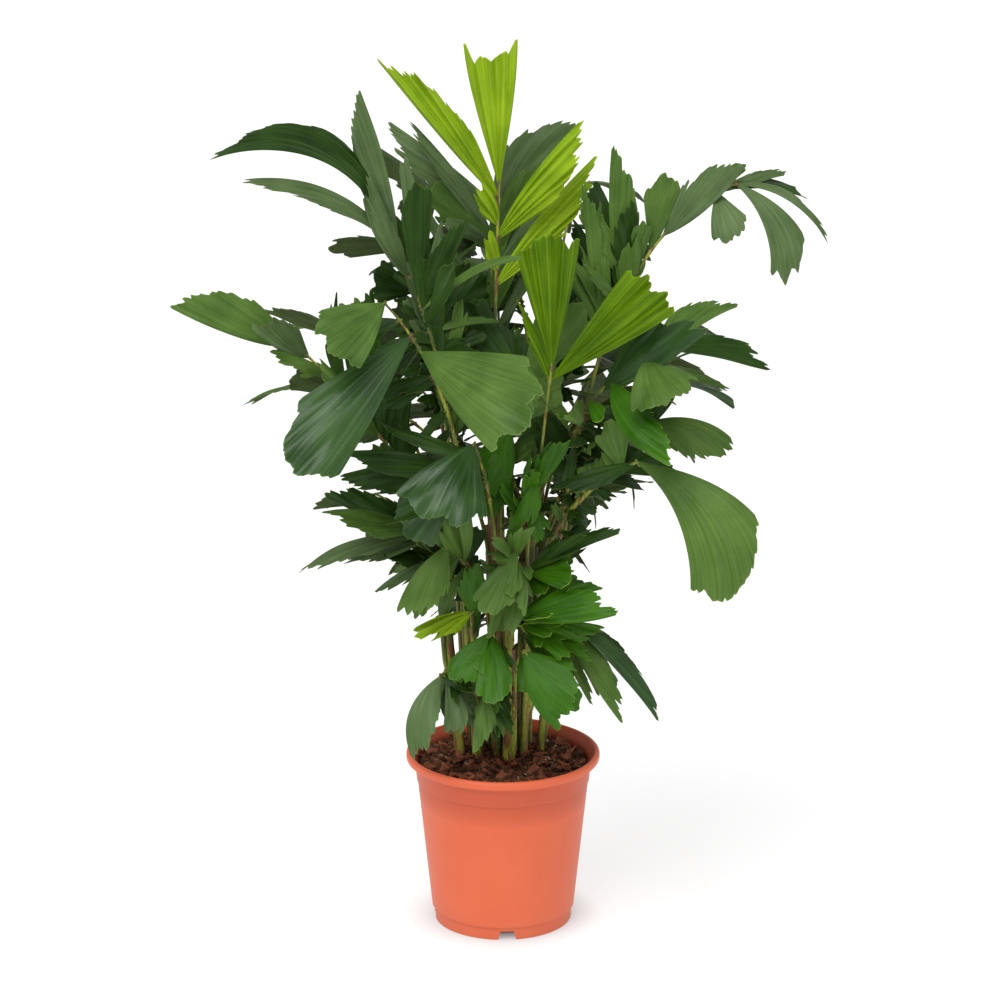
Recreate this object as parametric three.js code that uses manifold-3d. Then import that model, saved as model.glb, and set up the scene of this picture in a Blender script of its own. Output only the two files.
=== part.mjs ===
// A clustering fishtail palm in a round plastic nursery pot, in millimetres, +Z up.
// The origin is the middle of the pot's flat underside, and -Y is the front.
import * as THREE from 'three';
import { mergeVertices } from 'three/addons/utils/BufferGeometryUtils.js';
import Module from 'manifold-3d';

const wasm = await Module();
wasm.setup();

// Pot
const POT_HEIGHT = 230;
const RIM_RADIUS = 125.5; // outside of the rolled lip
const LIP_HEIGHT = 12;
const LIP_WIDTH = 7; // from the outside of the lip to the mouth
const LIP_ROUND = 3;
const NECK_RADIUS = 115; // outer wall just under the lip
const COLLAR_HEIGHT = 27; // band between the lip and the step line
const STEP = 1.2; // how far the wall sets back at the step line
const FOOT_RADIUS = 92.5; // outer wall just over the foot
const FOOT_HEIGHT = 17.5;
const FOOT_INSET = 3.2;
const FOOT_ROUND = 2;
const WALL = 3;
const POT_SIDES = 32;
const NOTCH = { width: 24, height: 12, depth: 34, proud: 1, count: 4, skin: 2, first: -86.5 };

// Potting soil
const SOIL_TOP = 217; // the flat middle that the canes stand on
const SOIL_EDGE_DROP = 4;
const SOIL_FLAT_RADIUS = 85;
const GAP = 0.3; // kept between solids that touch on the plant

// Canes: a golden-angle disc of feet, pressed flatter front to back, leaning outwards
const CANES = 14;
const CANE_SIDES = 8;
const CANE_RINGS = 3;
const CLUMP_RADIUS = 58;
const CLUMP_DEPTH = 0.6; // of its width, at the soil
const CLUMP_BACK = 22; // how far its foot stands behind the middle of the pot
const GOLDEN_ANGLE = 137.5;
const FIRST_CANE_ANGLE = 205;
const CANE_FOOT_RADIUS = [4.6, 7.6]; // thinnest and thickest
const CANE_TAPER = 0.62; // top radius over foot radius
const CANE_FLARE = 1.5; // extra foot radius
const FLARE_HEIGHT = 26;
const CANE_STRAY = 8; // how far a tip strays from its place
const CANE_TOP = [430, 625]; // lowest and highest tip
const CANE_SPREAD = 0.55; // how much wider the clump is at the highest tip

// Stalks and leaflets
const STALK_FOOT = 3.3; // half the thickness where it leaves the cane
const STALK_TIP = 1.9; // half the thickness at the end of the rachis
const STALK_STEP = 68;
const STALK_RISE = 0.42; // share of the hub's height over the soil where the stalk leaves
const STALK_START = 25;
const STALK_END = 14; // how far under the cane's tip it leaves at most
const LEAST_FACING = 0.4; // a stalk leaves a face of the cane that looks towards its hub
const FOOT_HALF_WIDTH = 1.6; // a leaflet where it meets the rachis
const LEAST_THICKNESS = 2.2;
const THICKNESS_SHARE = 1 / 95; // of a leaflet's length
const WIDE_LEAFLET = 68;
const WIDE_ROWS = [[0, 2], [0.36, 3], [0.7, 5], [1, 7]]; // share of the length, points across
const NARROW_ROWS = [[0, 2], [0.5, 3], [1, 5]];
const CUP = 0.16; // how far the margins hang, as a share of the half width
const TWIST = 30; // degrees, the most that a leaflet turns along its length
const BLUNTNESS = 1.5; // 1 gives a slanted end a straight edge, more a blunter tip
const SWEEP = 0.12; // the most that a leaflet bows sideways, as a share of its length

// How a stalk chooses its cane: the costs, in millimetres, of what speaks against one
const HUB_PULL = 0.3; // share of the hub's place that the cane's tip should have
const COST_OF_A_FROND = 16;
const COST_OF_A_TURN = 30;
const COST_OF_SHORTNESS = 0.5;
const WANTED_CANE = 150;

// Clearing rule: sample points on the leaflets and limbs keep this far apart
const LIMB_SAMPLE = 8;
const SAMPLE = 12;
const LEAFLET_RADIUS = 2.5;
const LIMB_MARGIN = 1;
const LEAFLET_MARGIN = 8;
const SWINGS = [0, 10, -10, 20, -20, 32, -32];
const LOWEST_LEAFLET = 240;

// How a leaflet is cut: peak is where it is widest, swell how it widens up to there, slant makes
// one margin longer than the other, round takes the corners back or, below 0, the middle, and
// teeth is how deep every other point of the end is cut, as a share of the length.
const KINDS = {
  fan: { peak: 1.35, swell: 1, slant: 0.2, round: 0.18, teeth: 0.1 },
  fan_left: { peak: 1.35, swell: 1, slant: -0.2, round: 0.18, teeth: 0.1 },
  tail: { peak: 0.9, swell: 0.9, slant: 0.56, round: 0.02, teeth: 0.12 },
  tail_left: { peak: 0.9, swell: 0.9, slant: -0.56, round: 0.02, teeth: 0.12 },
  ribbon: { peak: 0.6, swell: 0.8, slant: 0.5, round: 0.05, teeth: 0.07 },
  split: { peak: 1.1, swell: 1.1, slant: 0, round: -0.13, teeth: 0.07 },
  wedge: { peak: 1.3, swell: 1.1, slant: 0.08, round: 0.06, teeth: 0.1 },
};

// The fronds of the front: name, end of the rachis, lift (share of its length that rises straight),
// and its leaflets: kind, share along the stalk, tip x y z, width, facing (0 up, 90 front), droop,
// and, where it is marked, sweep.
const FRONT_FRONDS = [
  ['spear', [-5, 40, 970], 0.5, [
    ['split', 1, -17, 60, 1156, 70, 84, 8, 0],
    ['tail_left', 0.96, -156, 10, 1152, 54, 70, 16, 0.02],
    ['tail_left', 0.84, 114, -10, 1060, 62, 80, 14, 0],
    ['tail_left', 0.7, 132, 40, 1006, 58, 80, 12, 0],
    ['ribbon', 0.88, -42, 20, 985, 32, 80, 10],
    ['ribbon', 0.74, -24, 10, 925, 26, 80, 6],
  ]],
  ['young', [60, -110, 772], 0.45, [
    ['wedge', 1, 56, -80, 942, 92, 86, 6, 0],
    ['wedge', 0.95, 200, -125, 888, 92, 70, 10, 0],
    ['ribbon', 0.95, 5, -100, 866, 18, 80, 12],
  ]],
  ['upper_left', [-140, 0, 910], 0.7, [
    ['tail_left', 1, -374, -40, 1024, 62, 42, 78, 0.19],
    ['tail', 0.97, -334, -60, 990, 40, 44, 50, 0.08],
    ['tail', 0.94, -192, 30, 1096, 54, 76, 14, 0],
    ['fan', 0.86, -172, 30, 965, 46, 72, 16],
  ]],
  ['upright_left', [-105, -60, 848], 0.6, [
    ['fan', 1, -105, -50, 1008, 56, 84, 8, 0],
    ['tail', 0.97, -45, -70, 968, 38, 70, 14],
    ['ribbon', 0.95, 35, -120, 922, 28, 25, 34],
    ['tail', 0.9, -30, -20, 888, 36, 70, 20],
    ['tail', 0.8, -62, -30, 930, 40, 72, 14],
  ]],
  ['front_left', [-145, -150, 865], 0.6, [
    ['fan_left', 1, -220, -232, 820, 126, 66, 30, 0],
    ['fan_left', 0.82, -266, -255, 668, 136, 60, 34, 0],
    ['fan', 0.74, 48, -280, 745, 170, 64, 26, 0],
    ['tail', 0.9, -215, -130, 800, 50, 50, 24],
  ]],
  ['far_left', [-255, -60, 785], 0.4, [
    ['tail_left', 1, -412, -85, 862, 74, 56, 22, 0],
    ['tail_left', 0.96, -306, -100, 835, 58, 60, 16, 0],
    ['tail', 0.9, -295, -100, 785, 50, 40, 34],
    ['ribbon', 0.8, -210, -60, 865, 22, 50, 22],
    ['tail', 0.7, -178, -30, 862, 60, 60, 18],
    ['tail', 0.62, -235, -90, 775, 54, 50, 26],
  ]],
  ['glossy', [-36, -150, 686], 0.5, [
    ['fan', 1, -96, -240, 606, 162, 66, 30, 0],
    ['ribbon', 0.9, -165, -100, 700, 24, 40, 30],
    ['tail', 0.8, -213, -90, 615, 60, 50, 34],
  ]],
  ['right_arch', [290, -20, 985], 0.8, [
    ['fan', 1, 352, -55, 850, 74, 60, 44, -0.16],
    ['fan', 0.93, 284, -80, 920, 72, 66, 26, 0],
    ['ribbon', 1, 416, 0, 898, 22, 24, 50, -0.12],
    ['ribbon', 0.97, 386, 40, 956, 40, 24, 36, -0.06],
    ['tail', 0.94, 362, 40, 992, 26, 40, 20],
    ['tail', 0.86, 305, 20, 1008, 44, 50, 20, -0.04],
    ['fan', 0.66, 206, -20, 1006, 62, 66, 14, 0],
    ['tail', 0.72, 294, -40, 1026, 62, 60, 16, 0],
    ['tail', 0.56, 150, -10, 968, 50, 72, 12, 0],
    ['tail_left', 0.52, 146, 15, 1034, 54, 76, 10, 0],
    ['tail', 0.56, 96, 30, 968, 46, 76, 16],
  ]],
  ['right_mid', [194, -90, 792], 0.55, [
    ['fan', 0.95, 203, -190, 740, 130, 60, 30, 0],
    ['tail', 1, 343, -40, 757, 50, 36, 28, -0.04],
    ['tail', 0.97, 294, 20, 828, 52, 40, 30, -0.04],
    ['ribbon', 0.85, 297, 20, 706, 26, 30, 26],
    ['tail', 0.75, 214, -170, 848, 86, 52, 22, 0],
    ['tail', 0.8, 220, -215, 682, 66, 64, 30, 0.08],
  ]],
  ['right_low', [185, -30, 680], 0.5, [
    ['tail_left', 1, 294, -60, 638, 78, 54, 36, -0.04],
    ['fan', 0.86, 150, -70, 636, 70, 60, 26],
    ['tail', 0.9, 215, 50, 716, 54, 50, 20],
  ]],
  ['right_droop', [166, -130, 657], 0.55, [
    ['fan', 1, 274, -205, 482, 148, 66, 56, -0.17],
    ['tail', 0.98, 52, -150, 618, 42, 50, 30],
    ['tail', 0.9, 226, -90, 636, 44, 60, 30],
    ['fan', 0.92, 132, -110, 712, 66, 68, 12],
    ['tail', 0.82, 172, -60, 608, 34, 50, 30],
  ]],
  ['left_low', [-110, -60, 546], 0.5, [
    ['tail', 1, -230, -95, 578, 66, 36, 24, 0],
    ['tail', 0.95, -268, -60, 482, 46, 34, 36, 0.04],
    ['ribbon', 0.9, -225, -20, 484, 34, 34, 30],
    ['tail_left', 0.84, -224, 0, 598, 54, 46, 24, 0],
    ['tail', 0.75, -150, 0, 493, 34, 44, 24],
  ]],
  ['left_front', [-70, -100, 538], 0.5, [
    ['tail', 1, -124, -135, 444, 70, 66, 24, 0],
    ['tail', 0.9, -100, -120, 618, 44, 70, 14],
    ['fan', 0.8, -40, -60, 560, 56, 66, 20],
  ]],
  ['right_front', [30, -105, 508], 0.5, [
    ['tail', 1, 152, -135, 580, 34, 44, 24, 0],
    ['fan', 0.97, 100, -135, 514, 60, 50, 20],
  ]],
  ['front_mid', [18, -125, 542], 0.5, [
    ['fan', 1, -28, -175, 466, 70, 60, 20],
    ['tail', 0.9, 60, -180, 597, 36, 70, 12],
  ]],
  ['low_right', [18, -120, 450], 0.5, [
    ['tail', 1, 147, -165, 486, 66, 52, 26, 0],
    ['ribbon', 0.97, 134, -80, 485, 28, 40, 20],
  ]],
  ['centre', [30, -70, 768], 0.5, [
    ['tail', 1, 84, -135, 700, 54, 60, 44],
    ['fan', 0.92, -62, -20, 840, 96, 76, 12],
    ['fan', 0.86, 98, -30, 850, 96, 76, 12],
    ['fan_left', 0.78, 110, -90, 638, 90, 56, 30],
    ['fan', 0.7, -20, -70, 588, 90, 60, 24],
  ]],
  ['centre_right', [102, -80, 706], 0.5, [
    ['tail', 1, 168, -130, 690, 44, 56, 30],
    ['tail', 0.9, 158, -60, 748, 42, 60, 20],
    ['tail_left', 0.92, 76, -155, 732, 48, 64, 44],
    ['fan', 0.85, 112, -40, 795, 86, 74, 14],
    ['fan', 0.75, 44, -60, 690, 84, 70, 20],
  ]],
  ['bright_small', [42, -95, 622], 0.5, [
    ['tail', 1, 8, -130, 558, 42, 70, 14],
    ['tail', 0.95, 80, -110, 688, 40, 76, 10],
  ]],
  ['low_bright', [-40, -80, 444], 0.5, [
    ['tail', 1, -118, -115, 410, 52, 60, 22],
    ['tail', 0.97, -44, -90, 518, 46, 76, 12],
  ]],
  ['low_centre', [-18, -105, 424], 0.5, [
    ['fan', 1, -60, -135, 364, 68, 64, 18],
    ['fan', 0.94, 12, -160, 344, 70, 66, 16],
  ]],
  ['low_fan', [28, -112, 402], 0.5, [
    ['tail', 1, 90, -160, 322, 102, 66, 22, 0],
  ]],
  ['low_right_arch', [92, -60, 424], 0.6, [
    ['ribbon', 1, 168, -40, 370, 20, 30, 36],
    ['ribbon', 0.98, 208, -75, 290, 26, 56, 34, -0.04],
    ['tail', 0.86, 164, -95, 300, 46, 60, 24, 0],
  ]],
  ['low_left', [-80, -98, 364], 0.5, [
    ['tail', 1, -100, -150, 260, 60, 66, 40, 0.12],
    ['ribbon', 0.97, -30, -120, 350, 24, 40, 16],
  ]],
  ['lowest', [-22, -88, 338], 0.5, [
    ['tail', 1, -30, -125, 266, 40, 70, 18],
    ['tail', 0.9, 20, -112, 292, 28, 60, 14],
  ]],
  ['behind_spear', [-10, 110, 925], 0.5, [
    ['tail', 1, -157, 120, 1030, 62, 60, 30],
    ['fan', 0.86, -98, 90, 965, 86, 70, 16],
    ['tail', 0.95, 102, 140, 1040, 72, 60, 34, -0.12],
    ['tail', 0.81, 48, 115, 995, 52, 70, 14],
    ['ribbon', 0.9, -132, 100, 1046, 24, 60, 24],
  ]],
  ['dark_right', [140, 50, 900], 0.5, [
    ['tail', 1, 105, 80, 968, 50, 70, 14],
    ['fan', 0.88, 108, 10, 842, 64, 74, 20],
    ['fan', 0.7, 60, 10, 860, 84, 70, 16],
    ['fan', 0.6, 150, 20, 800, 80, 66, 22],
  ]],
  ['dark_left', [-115, 50, 828], 0.5, [
    ['fan', 1, -172, 40, 853, 80, 66, 20],
    ['fan', 0.9, -20, 70, 862, 88, 74, 14],
    ['fan', 0.8, -48, 10, 812, 88, 70, 18],
    ['tail', 0.95, -90, 100, 930, 54, 60, 20],
  ]],
];

// The fronds of the back and sides grow by rule:
// name, heading in degrees, hub radius, hub height, number of leaflets, leaflet length.
const RULE_FRONDS = [
  ['back_high_right', 62, 205, 940, 6, 165],
  ['back_high_left', 114, 205, 945, 6, 170],
  ['back_arch', 92, 260, 845, 6, 165],
  ['back_centre', 84, 110, 860, 6, 150],
  ['back_right', 38, 255, 775, 6, 155],
  ['back_left', 146, 262, 765, 5, 155],
  ['side_right', 8, 215, 745, 5, 140],
  ['side_left', 172, 215, 715, 5, 145],
  ['back_mid_right', 58, 235, 690, 6, 150],
  ['back_mid_left', 122, 240, 675, 6, 150],
  ['back_low', 92, 200, 575, 5, 140],
  ['back_low_right', 44, 165, 600, 4, 125],
  ['back_low_left', 148, 195, 545, 4, 130],
  ['back_foot_right', 76, 120, 430, 3, 105],
  ['back_foot_left', 106, 128, 425, 3, 105],
  ['side_low_right', 20, 190, 660, 3, 105],
];

// How they grow: angles in degrees, sizes as shares of the leaflet length
const RULE = {
  lift: 0.62,
  run: 0.4, // share of the stalk that carries leaflets
  spread: [34, 62], // from the stalk, at its end and towards the cane
  stray: 10,
  rise: [-38, 34],
  dip: 12, // how much further down the leaflet at the end points
  length: [0.78, 1.12],
  inner: 0.8, // how much shorter they are towards the cane
  width: [0.34, 0.62],
  facing: [28, 62],
  droop: [16, 46],
};

const UP = new THREE.Vector3(0, 0, 1);
const radians = THREE.MathUtils.degToRad;
const mix = THREE.MathUtils.lerp;

// A number from 0 to 1 that looks random and is the same every time.
function vary(seed) {
  const wave = Math.sin(seed * 127.1) * 43758.5453;
  return wave - Math.floor(wave);
}

// A three.js geometry as a solid that can be joined and cut.
function solid(geometry) {
  const bare = geometry.clone();
  bare.deleteAttribute('normal');
  bare.deleteAttribute('uv');
  const merged = mergeVertices(bare, 1e-4);
  return new wasm.Manifold(new wasm.Mesh({
    numProp: 3,
    vertProperties: merged.attributes.position.array,
    triVerts: new Uint32Array(merged.index.array),
  }));
}

// A solid as a three.js geometry.
function geometryOf(made) {
  const mesh = made.getMesh();
  const geometry = new THREE.BufferGeometry();
  geometry.setAttribute('position', new THREE.BufferAttribute(mesh.vertProperties, 3));
  geometry.setIndex(new THREE.BufferAttribute(mesh.triVerts, 1));
  geometry.computeVertexNormals();
  return geometry;
}

function indexed(points, faces) {
  const geometry = new THREE.BufferGeometry().setFromPoints(points);
  geometry.setIndex(faces);
  return geometry;
}

// A shape turned round the Z axis from its outline of [radius, height].
function turned(outline) {
  const points = outline.map(([radius, height]) => new THREE.Vector2(radius, height));
  return solid(new THREE.LatheGeometry(points, POT_SIDES).rotateX(Math.PI / 2));
}

function box(width, depth, height) {
  return new THREE.BoxGeometry(width, depth, height);
}

// Rings of points joined into a closed limb, with a flat cap at each end.
function loft(rings) {
  const sides = rings[0].length;
  const points = rings.flat();
  const faces = [];
  for (let ring = 0; ring + 1 < rings.length; ring++)
    for (let side = 0; side < sides; side++) {
      const a = ring * sides + side;
      const b = ring * sides + (side + 1) % sides;
      faces.push(a, b, b + sides, a, b + sides, a + sides);
    }
  const last = (rings.length - 1) * sides;
  for (let side = 1; side + 1 < sides; side++) {
    faces.push(0, side + 1, side);
    faces.push(last, last + side, last + side + 1);
  }
  return indexed(points, faces);
}

// Pot radius on the outer wall at a height
const wallRadius = (height) => mix(FOOT_RADIUS, NECK_RADIUS,
  (height - FOOT_HEIGHT) / (POT_HEIGHT - LIP_HEIGHT - FOOT_HEIGHT));

// The inside of the pot, drawn in by a margin, up to a height.
function potInside(margin, top, crown = []) {
  const side = (height) => wallRadius(height) - STEP - WALL - margin;
  return turned([
    [0, WALL + margin],
    [FOOT_RADIUS - FOOT_INSET - WALL - margin - 1, WALL + margin],
    [side(FOOT_HEIGHT), FOOT_HEIGHT],
    [side(top), top],
    ...crown,
  ]);
}

// The drainage notches: a box run in from the foot, one for each quarter.
function notches(skin) {
  let joined = null;
  for (let i = 0; i < NOTCH.count; i++) {
    const size = box(NOTCH.depth + skin * 2, NOTCH.width + skin * 2, (NOTCH.height + skin) * 2);
    size.translate(FOOT_RADIUS + NOTCH.proud - NOTCH.depth / 2, 0, 0);
    size.rotateZ(radians(NOTCH.first + i * 360 / NOTCH.count));
    joined = joined ? joined.add(solid(size)) : solid(size);
  }
  return joined;
}

function pot() {
  const neck = POT_HEIGHT - LIP_HEIGHT;
  const step = neck - COLLAR_HEIGHT;
  const outside = turned([
    [0, 0],
    [FOOT_RADIUS - FOOT_INSET - FOOT_ROUND, 0],
    [FOOT_RADIUS - FOOT_INSET, FOOT_ROUND],
    [FOOT_RADIUS - FOOT_INSET, FOOT_HEIGHT - FOOT_INSET],
    [FOOT_RADIUS, FOOT_HEIGHT],
    [wallRadius(step) - STEP, step],
    [wallRadius(step), step + STEP],
    [NECK_RADIUS, neck],
    [RIM_RADIUS - LIP_ROUND, neck],
    [RIM_RADIUS, neck + LIP_ROUND],
    [RIM_RADIUS, POT_HEIGHT - LIP_ROUND],
    [RIM_RADIUS - LIP_ROUND, POT_HEIGHT],
    [0, POT_HEIGHT],
  ]);
  const mouth = RIM_RADIUS - LIP_WIDTH;
  const inside = potInside(0, neck, [[mouth, POT_HEIGHT], [mouth, POT_HEIGHT + 1], [0, POT_HEIGHT + 1]]);
  return outside.subtract(inside.subtract(notches(NOTCH.skin))).subtract(notches(0));
}

function soil() {
  const edge = SOIL_TOP - SOIL_EDGE_DROP;
  const filling = potInside(GAP, edge, [[SOIL_FLAT_RADIUS, SOIL_TOP], [0, SOIL_TOP]]);
  return filling.subtract(notches(NOTCH.skin + GAP));
}

// Each cane: its foot, its tip, its radii, and the fronds it has been given so far.
function planCanes() {
  return Array.from({ length: CANES }, (_, i) => {
    const angle = radians(FIRST_CANE_ANGLE + i * GOLDEN_ANGLE);
    const reach = CLUMP_RADIUS * Math.sqrt((i + 0.5) / CANES);
    const x = reach * Math.cos(angle);
    const y = reach * Math.sin(angle);
    const height = mix(...CANE_TOP, vary(i + 3));
    const share = (height - SOIL_TOP) / (CANE_TOP[1] - SOIL_TOP);
    const lean = 1 + CANE_SPREAD * share;
    const radius = mix(...CANE_FOOT_RADIUS, vary(i + 31));
    return {
      foot: new THREE.Vector3(x, CLUMP_BACK + CLUMP_DEPTH * y, SOIL_TOP + GAP),
      tip: new THREE.Vector3(
        x * lean + CANE_STRAY * (vary(i + 57) - 0.5),
        y * lean + CANE_STRAY * (vary(i + 71) - 0.5),
        height,
      ),
      radius,
      fronds: 0,
    };
  });
}

const caneShare = (cane, height) => (height - cane.foot.z) / (cane.tip.z - cane.foot.z);
const caneAt = (cane, height) => cane.foot.clone().lerp(cane.tip, caneShare(cane, height));
const caneRadius = (cane, height) => cane.radius * mix(1, CANE_TAPER, caneShare(cane, height));

function caneSolid(cane) {
  const heights = [cane.foot.z, cane.foot.z + FLARE_HEIGHT];
  for (let i = 1; i <= CANE_RINGS; i++)
    heights.push(mix(cane.foot.z + FLARE_HEIGHT, cane.tip.z, i / CANE_RINGS));
  const rings = heights.map((height, ring) => {
    const centre = caneAt(cane, height);
    const radius = caneRadius(cane, height) + (ring ? 0 : CANE_FLARE);
    return Array.from({ length: CANE_SIDES }, (_, side) => {
      const angle = (side + 0.5) * 2 * Math.PI / CANE_SIDES;
      return new THREE.Vector3(
        centre.x + radius * Math.cos(angle),
        centre.y + radius * Math.sin(angle),
        height,
      );
    });
  });
  return loft(rings);
}

// Points along a limb, each with the limb's radius there.
function limbSamples(at, radiusAt, length) {
  const count = Math.ceil(length / LIMB_SAMPLE);
  return Array.from({ length: count + 1 }, (_, i) => ({
    point: at(i / count),
    radius: radiusAt(i / count),
  }));
}

// The stalk of a frond, from the face of a cane that it leaves, to its hub.
function stalkFrom(cane, face, frond) {
  const wanted = SOIL_TOP + STALK_START + STALK_RISE * (frond.hub.z - SOIL_TOP);
  const height = Math.min(wanted, cane.tip.z - STALK_END);
  const angle = face * 2 * Math.PI / CANE_SIDES;
  const outward = new THREE.Vector3(Math.cos(angle), Math.sin(angle), 0);
  const flat = caneRadius(cane, height) * Math.cos(Math.PI / CANE_SIDES);
  const foot = caneAt(cane, height).addScaledVector(outward, flat + GAP + STALK_FOOT);
  const along = cane.tip.clone().sub(cane.foot).normalize();
  const bend = foot.clone().addScaledVector(along, frond.lift * foot.distanceTo(frond.hub));
  const curve = new THREE.QuadraticBezierCurve3(foot, bend, frond.hub);
  const length = foot.distanceTo(bend) * 0.5 + frond.hub.distanceTo(bend) * 0.5
    + foot.distanceTo(frond.hub) * 0.5;
  return { cane, outward, curve, length };
}

const stalkHalf = (share) => mix(STALK_FOOT, STALK_TIP, share);

function stalkSolid({ outward, curve, length }) {
  const steps = Math.max(3, Math.round(length / STALK_STEP));
  let across = outward;
  const rings = [];
  for (let i = 0; i <= steps; i++) {
    const tangent = curve.getTangent(i / steps);
    across = across.clone().addScaledVector(tangent, -across.dot(tangent)).normalize();
    const other = new THREE.Vector3().crossVectors(tangent, across);
    const half = stalkHalf(i / steps);
    rings.push([[1, -1], [1, 1], [-1, 1], [-1, -1]].map(([a, b]) => curve.getPoint(i / steps)
      .addScaledVector(across, a * half)
      .addScaledVector(other, b * half)));
  }
  return loft(rings);
}

// A leaflet's frame: an arc from its foot to its tip, the way across, and the size of its outline.
function leafletFrame(leaflet, foot, tip) {
  const chord = tip.clone().sub(foot);
  const reach = chord.length();
  chord.normalize();
  const facing = radians(leaflet.facing);
  const normal = leaflet.front.clone().multiplyScalar(Math.sin(facing))
    .addScaledVector(UP, Math.cos(facing));
  normal.addScaledVector(chord, -normal.dot(chord)).normalize();
  const across = new THREE.Vector3().crossVectors(chord, normal);
  const droop = radians(leaflet.droop);
  const length = reach * droop / (2 * Math.sin(droop / 2));
  return { ...leaflet, foot, chord, normal, across, droop, length };
}

// How far along its length the leaflet runs at v, from -1 on one margin to 1 on the other.
function endAt({ shape }, v) {
  const side = Math.sign(shape.slant) || 1;
  const corner = shape.round > 0 ? shape.round * v * v : -shape.round * (1 - v * v);
  return 1 - Math.abs(shape.slant) * ((1 - side * v) / 2) ** BLUNTNESS - corner;
}

// The point of the leaflet at u along it and v across it, and the normal there.
function leafletPoint(frame, u, v) {
  const { foot, chord, normal, across, droop, length, width, shape, twist, sweep } = frame;
  const start = droop / 2;
  const angle = start - droop * u;
  const forward = length * (Math.sin(start) - Math.sin(angle)) / droop;
  const raised = length * (Math.cos(angle) - Math.cos(start)) / droop;
  const up = normal.clone().multiplyScalar(Math.cos(angle)).addScaledVector(chord, -Math.sin(angle));
  const turn = twist * u;
  const level = across.clone().multiplyScalar(Math.cos(turn)).addScaledVector(up, Math.sin(turn));
  const out = up.clone().multiplyScalar(Math.cos(turn)).addScaledVector(across, -Math.sin(turn));
  const swell = Math.sin(Math.PI / 2 * Math.min(1, u / shape.peak)) ** shape.swell;
  const half = mix(FOOT_HALF_WIDTH, width / 2, swell);
  const point = foot.clone()
    .addScaledVector(chord, forward)
    .addScaledVector(normal, raised)
    .addScaledVector(level, half * (v - shape.slant * u) + 4 * sweep * length * u * (1 - u))
    .addScaledVector(out, -CUP * half * v * v);
  return { point, out };
}

// Sample points over a leaflet, no further apart than SAMPLE.
function leafletSamples(frame) {
  const rows = Math.ceil(frame.length / SAMPLE);
  const columns = Math.ceil(frame.width / SAMPLE);
  const samples = [];
  for (let i = 1; i <= rows; i++)
    for (let j = 0; j <= columns; j++) {
      const v = 2 * j / columns - 1;
      const { point } = leafletPoint(frame, i / rows * endAt(frame, v), v);
      samples.push({ point, radius: LEAFLET_RADIUS });
    }
  return samples;
}

// A thin closed blade: rows of columns that widen from the foot to a toothed end.
function leafletSolid(frame) {
  const rows = frame.width < WIDE_LEAFLET ? NARROW_ROWS : WIDE_ROWS;
  const thickness = Math.max(LEAST_THICKNESS, frame.length * THICKNESS_SHARE);
  const top = [];
  const under = [];
  const starts = [];
  for (const [u, columns] of rows) {
    starts.push(top.length);
    for (let j = 0; j < columns; j++) {
      const v = 2 * j / (columns - 1) - 1;
      const tooth = u === 1 && j % 2 ? frame.shape.teeth : 0;
      const { point, out } = leafletPoint(frame, u * endAt(frame, v) * (1 - tooth), v);
      top.push(point.clone().addScaledVector(out, thickness / 2));
      under.push(point.clone().addScaledVector(out, -thickness / 2));
    }
  }
  const faces = [];
  const offset = top.length;
  const both = (a, b, c) => faces.push(a, c, b, offset + a, offset + b, offset + c);
  const wall = (a, b) => faces.push(a, offset + b, offset + a, a, b, offset + b);
  rows.slice(1).forEach(([, columns], i) => {
    const near = starts[i];
    const far = starts[i + 1];
    const last = rows[i][1] - 1;
    let a = 0;
    let b = 0;
    while (a < last || b < columns - 1)
      if (b < columns - 1 && (a === last || (b + 0.5) / (columns - 1) <= (a + 0.5) / last)) {
        both(near + a, far + b, far + b + 1);
        b += 1;
      } else {
        both(near + a, far + b, near + a + 1);
        a += 1;
      }
    wall(near, far);
    wall(far + columns - 1, near + last);
  });
  const end = starts[starts.length - 1];
  for (let j = end; j + 1 < offset; j++) wall(j, j + 1);
  wall(1, 0);
  return indexed([...top, ...under], faces);
}

// The whole list of fronds, with every leaflet's foot share and tip written out.
function planFronds() {
  const front = new THREE.Vector3(0, -1, 0);
  const planned = FRONT_FRONDS.map(([name, hub, lift, rows]) => ({
    name: 'frond_' + name,
    hub: new THREE.Vector3(...hub),
    lift,
    leaflets: rows.map(([kind, share, x, y, z, width, facing, droop, sweep]) => ({
      shape: KINDS[kind], share, tip: new THREE.Vector3(x, y, z), width, facing, droop, sweep, front,
    })),
  }));
  RULE_FRONDS.forEach(([name, degrees, radius, height, count, size], i) => {
    const heading = radians(degrees);
    const out = new THREE.Vector3(Math.cos(heading), Math.sin(heading), 0);
    const hub = out.clone().multiplyScalar(radius).setZ(height);
    planned.push({
      name: 'frond_' + name,
      hub,
      lift: RULE.lift,
      rule: { heading, out, count, size, seed: 100 * (i + 1) },
    });
  });
  return planned;
}

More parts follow.
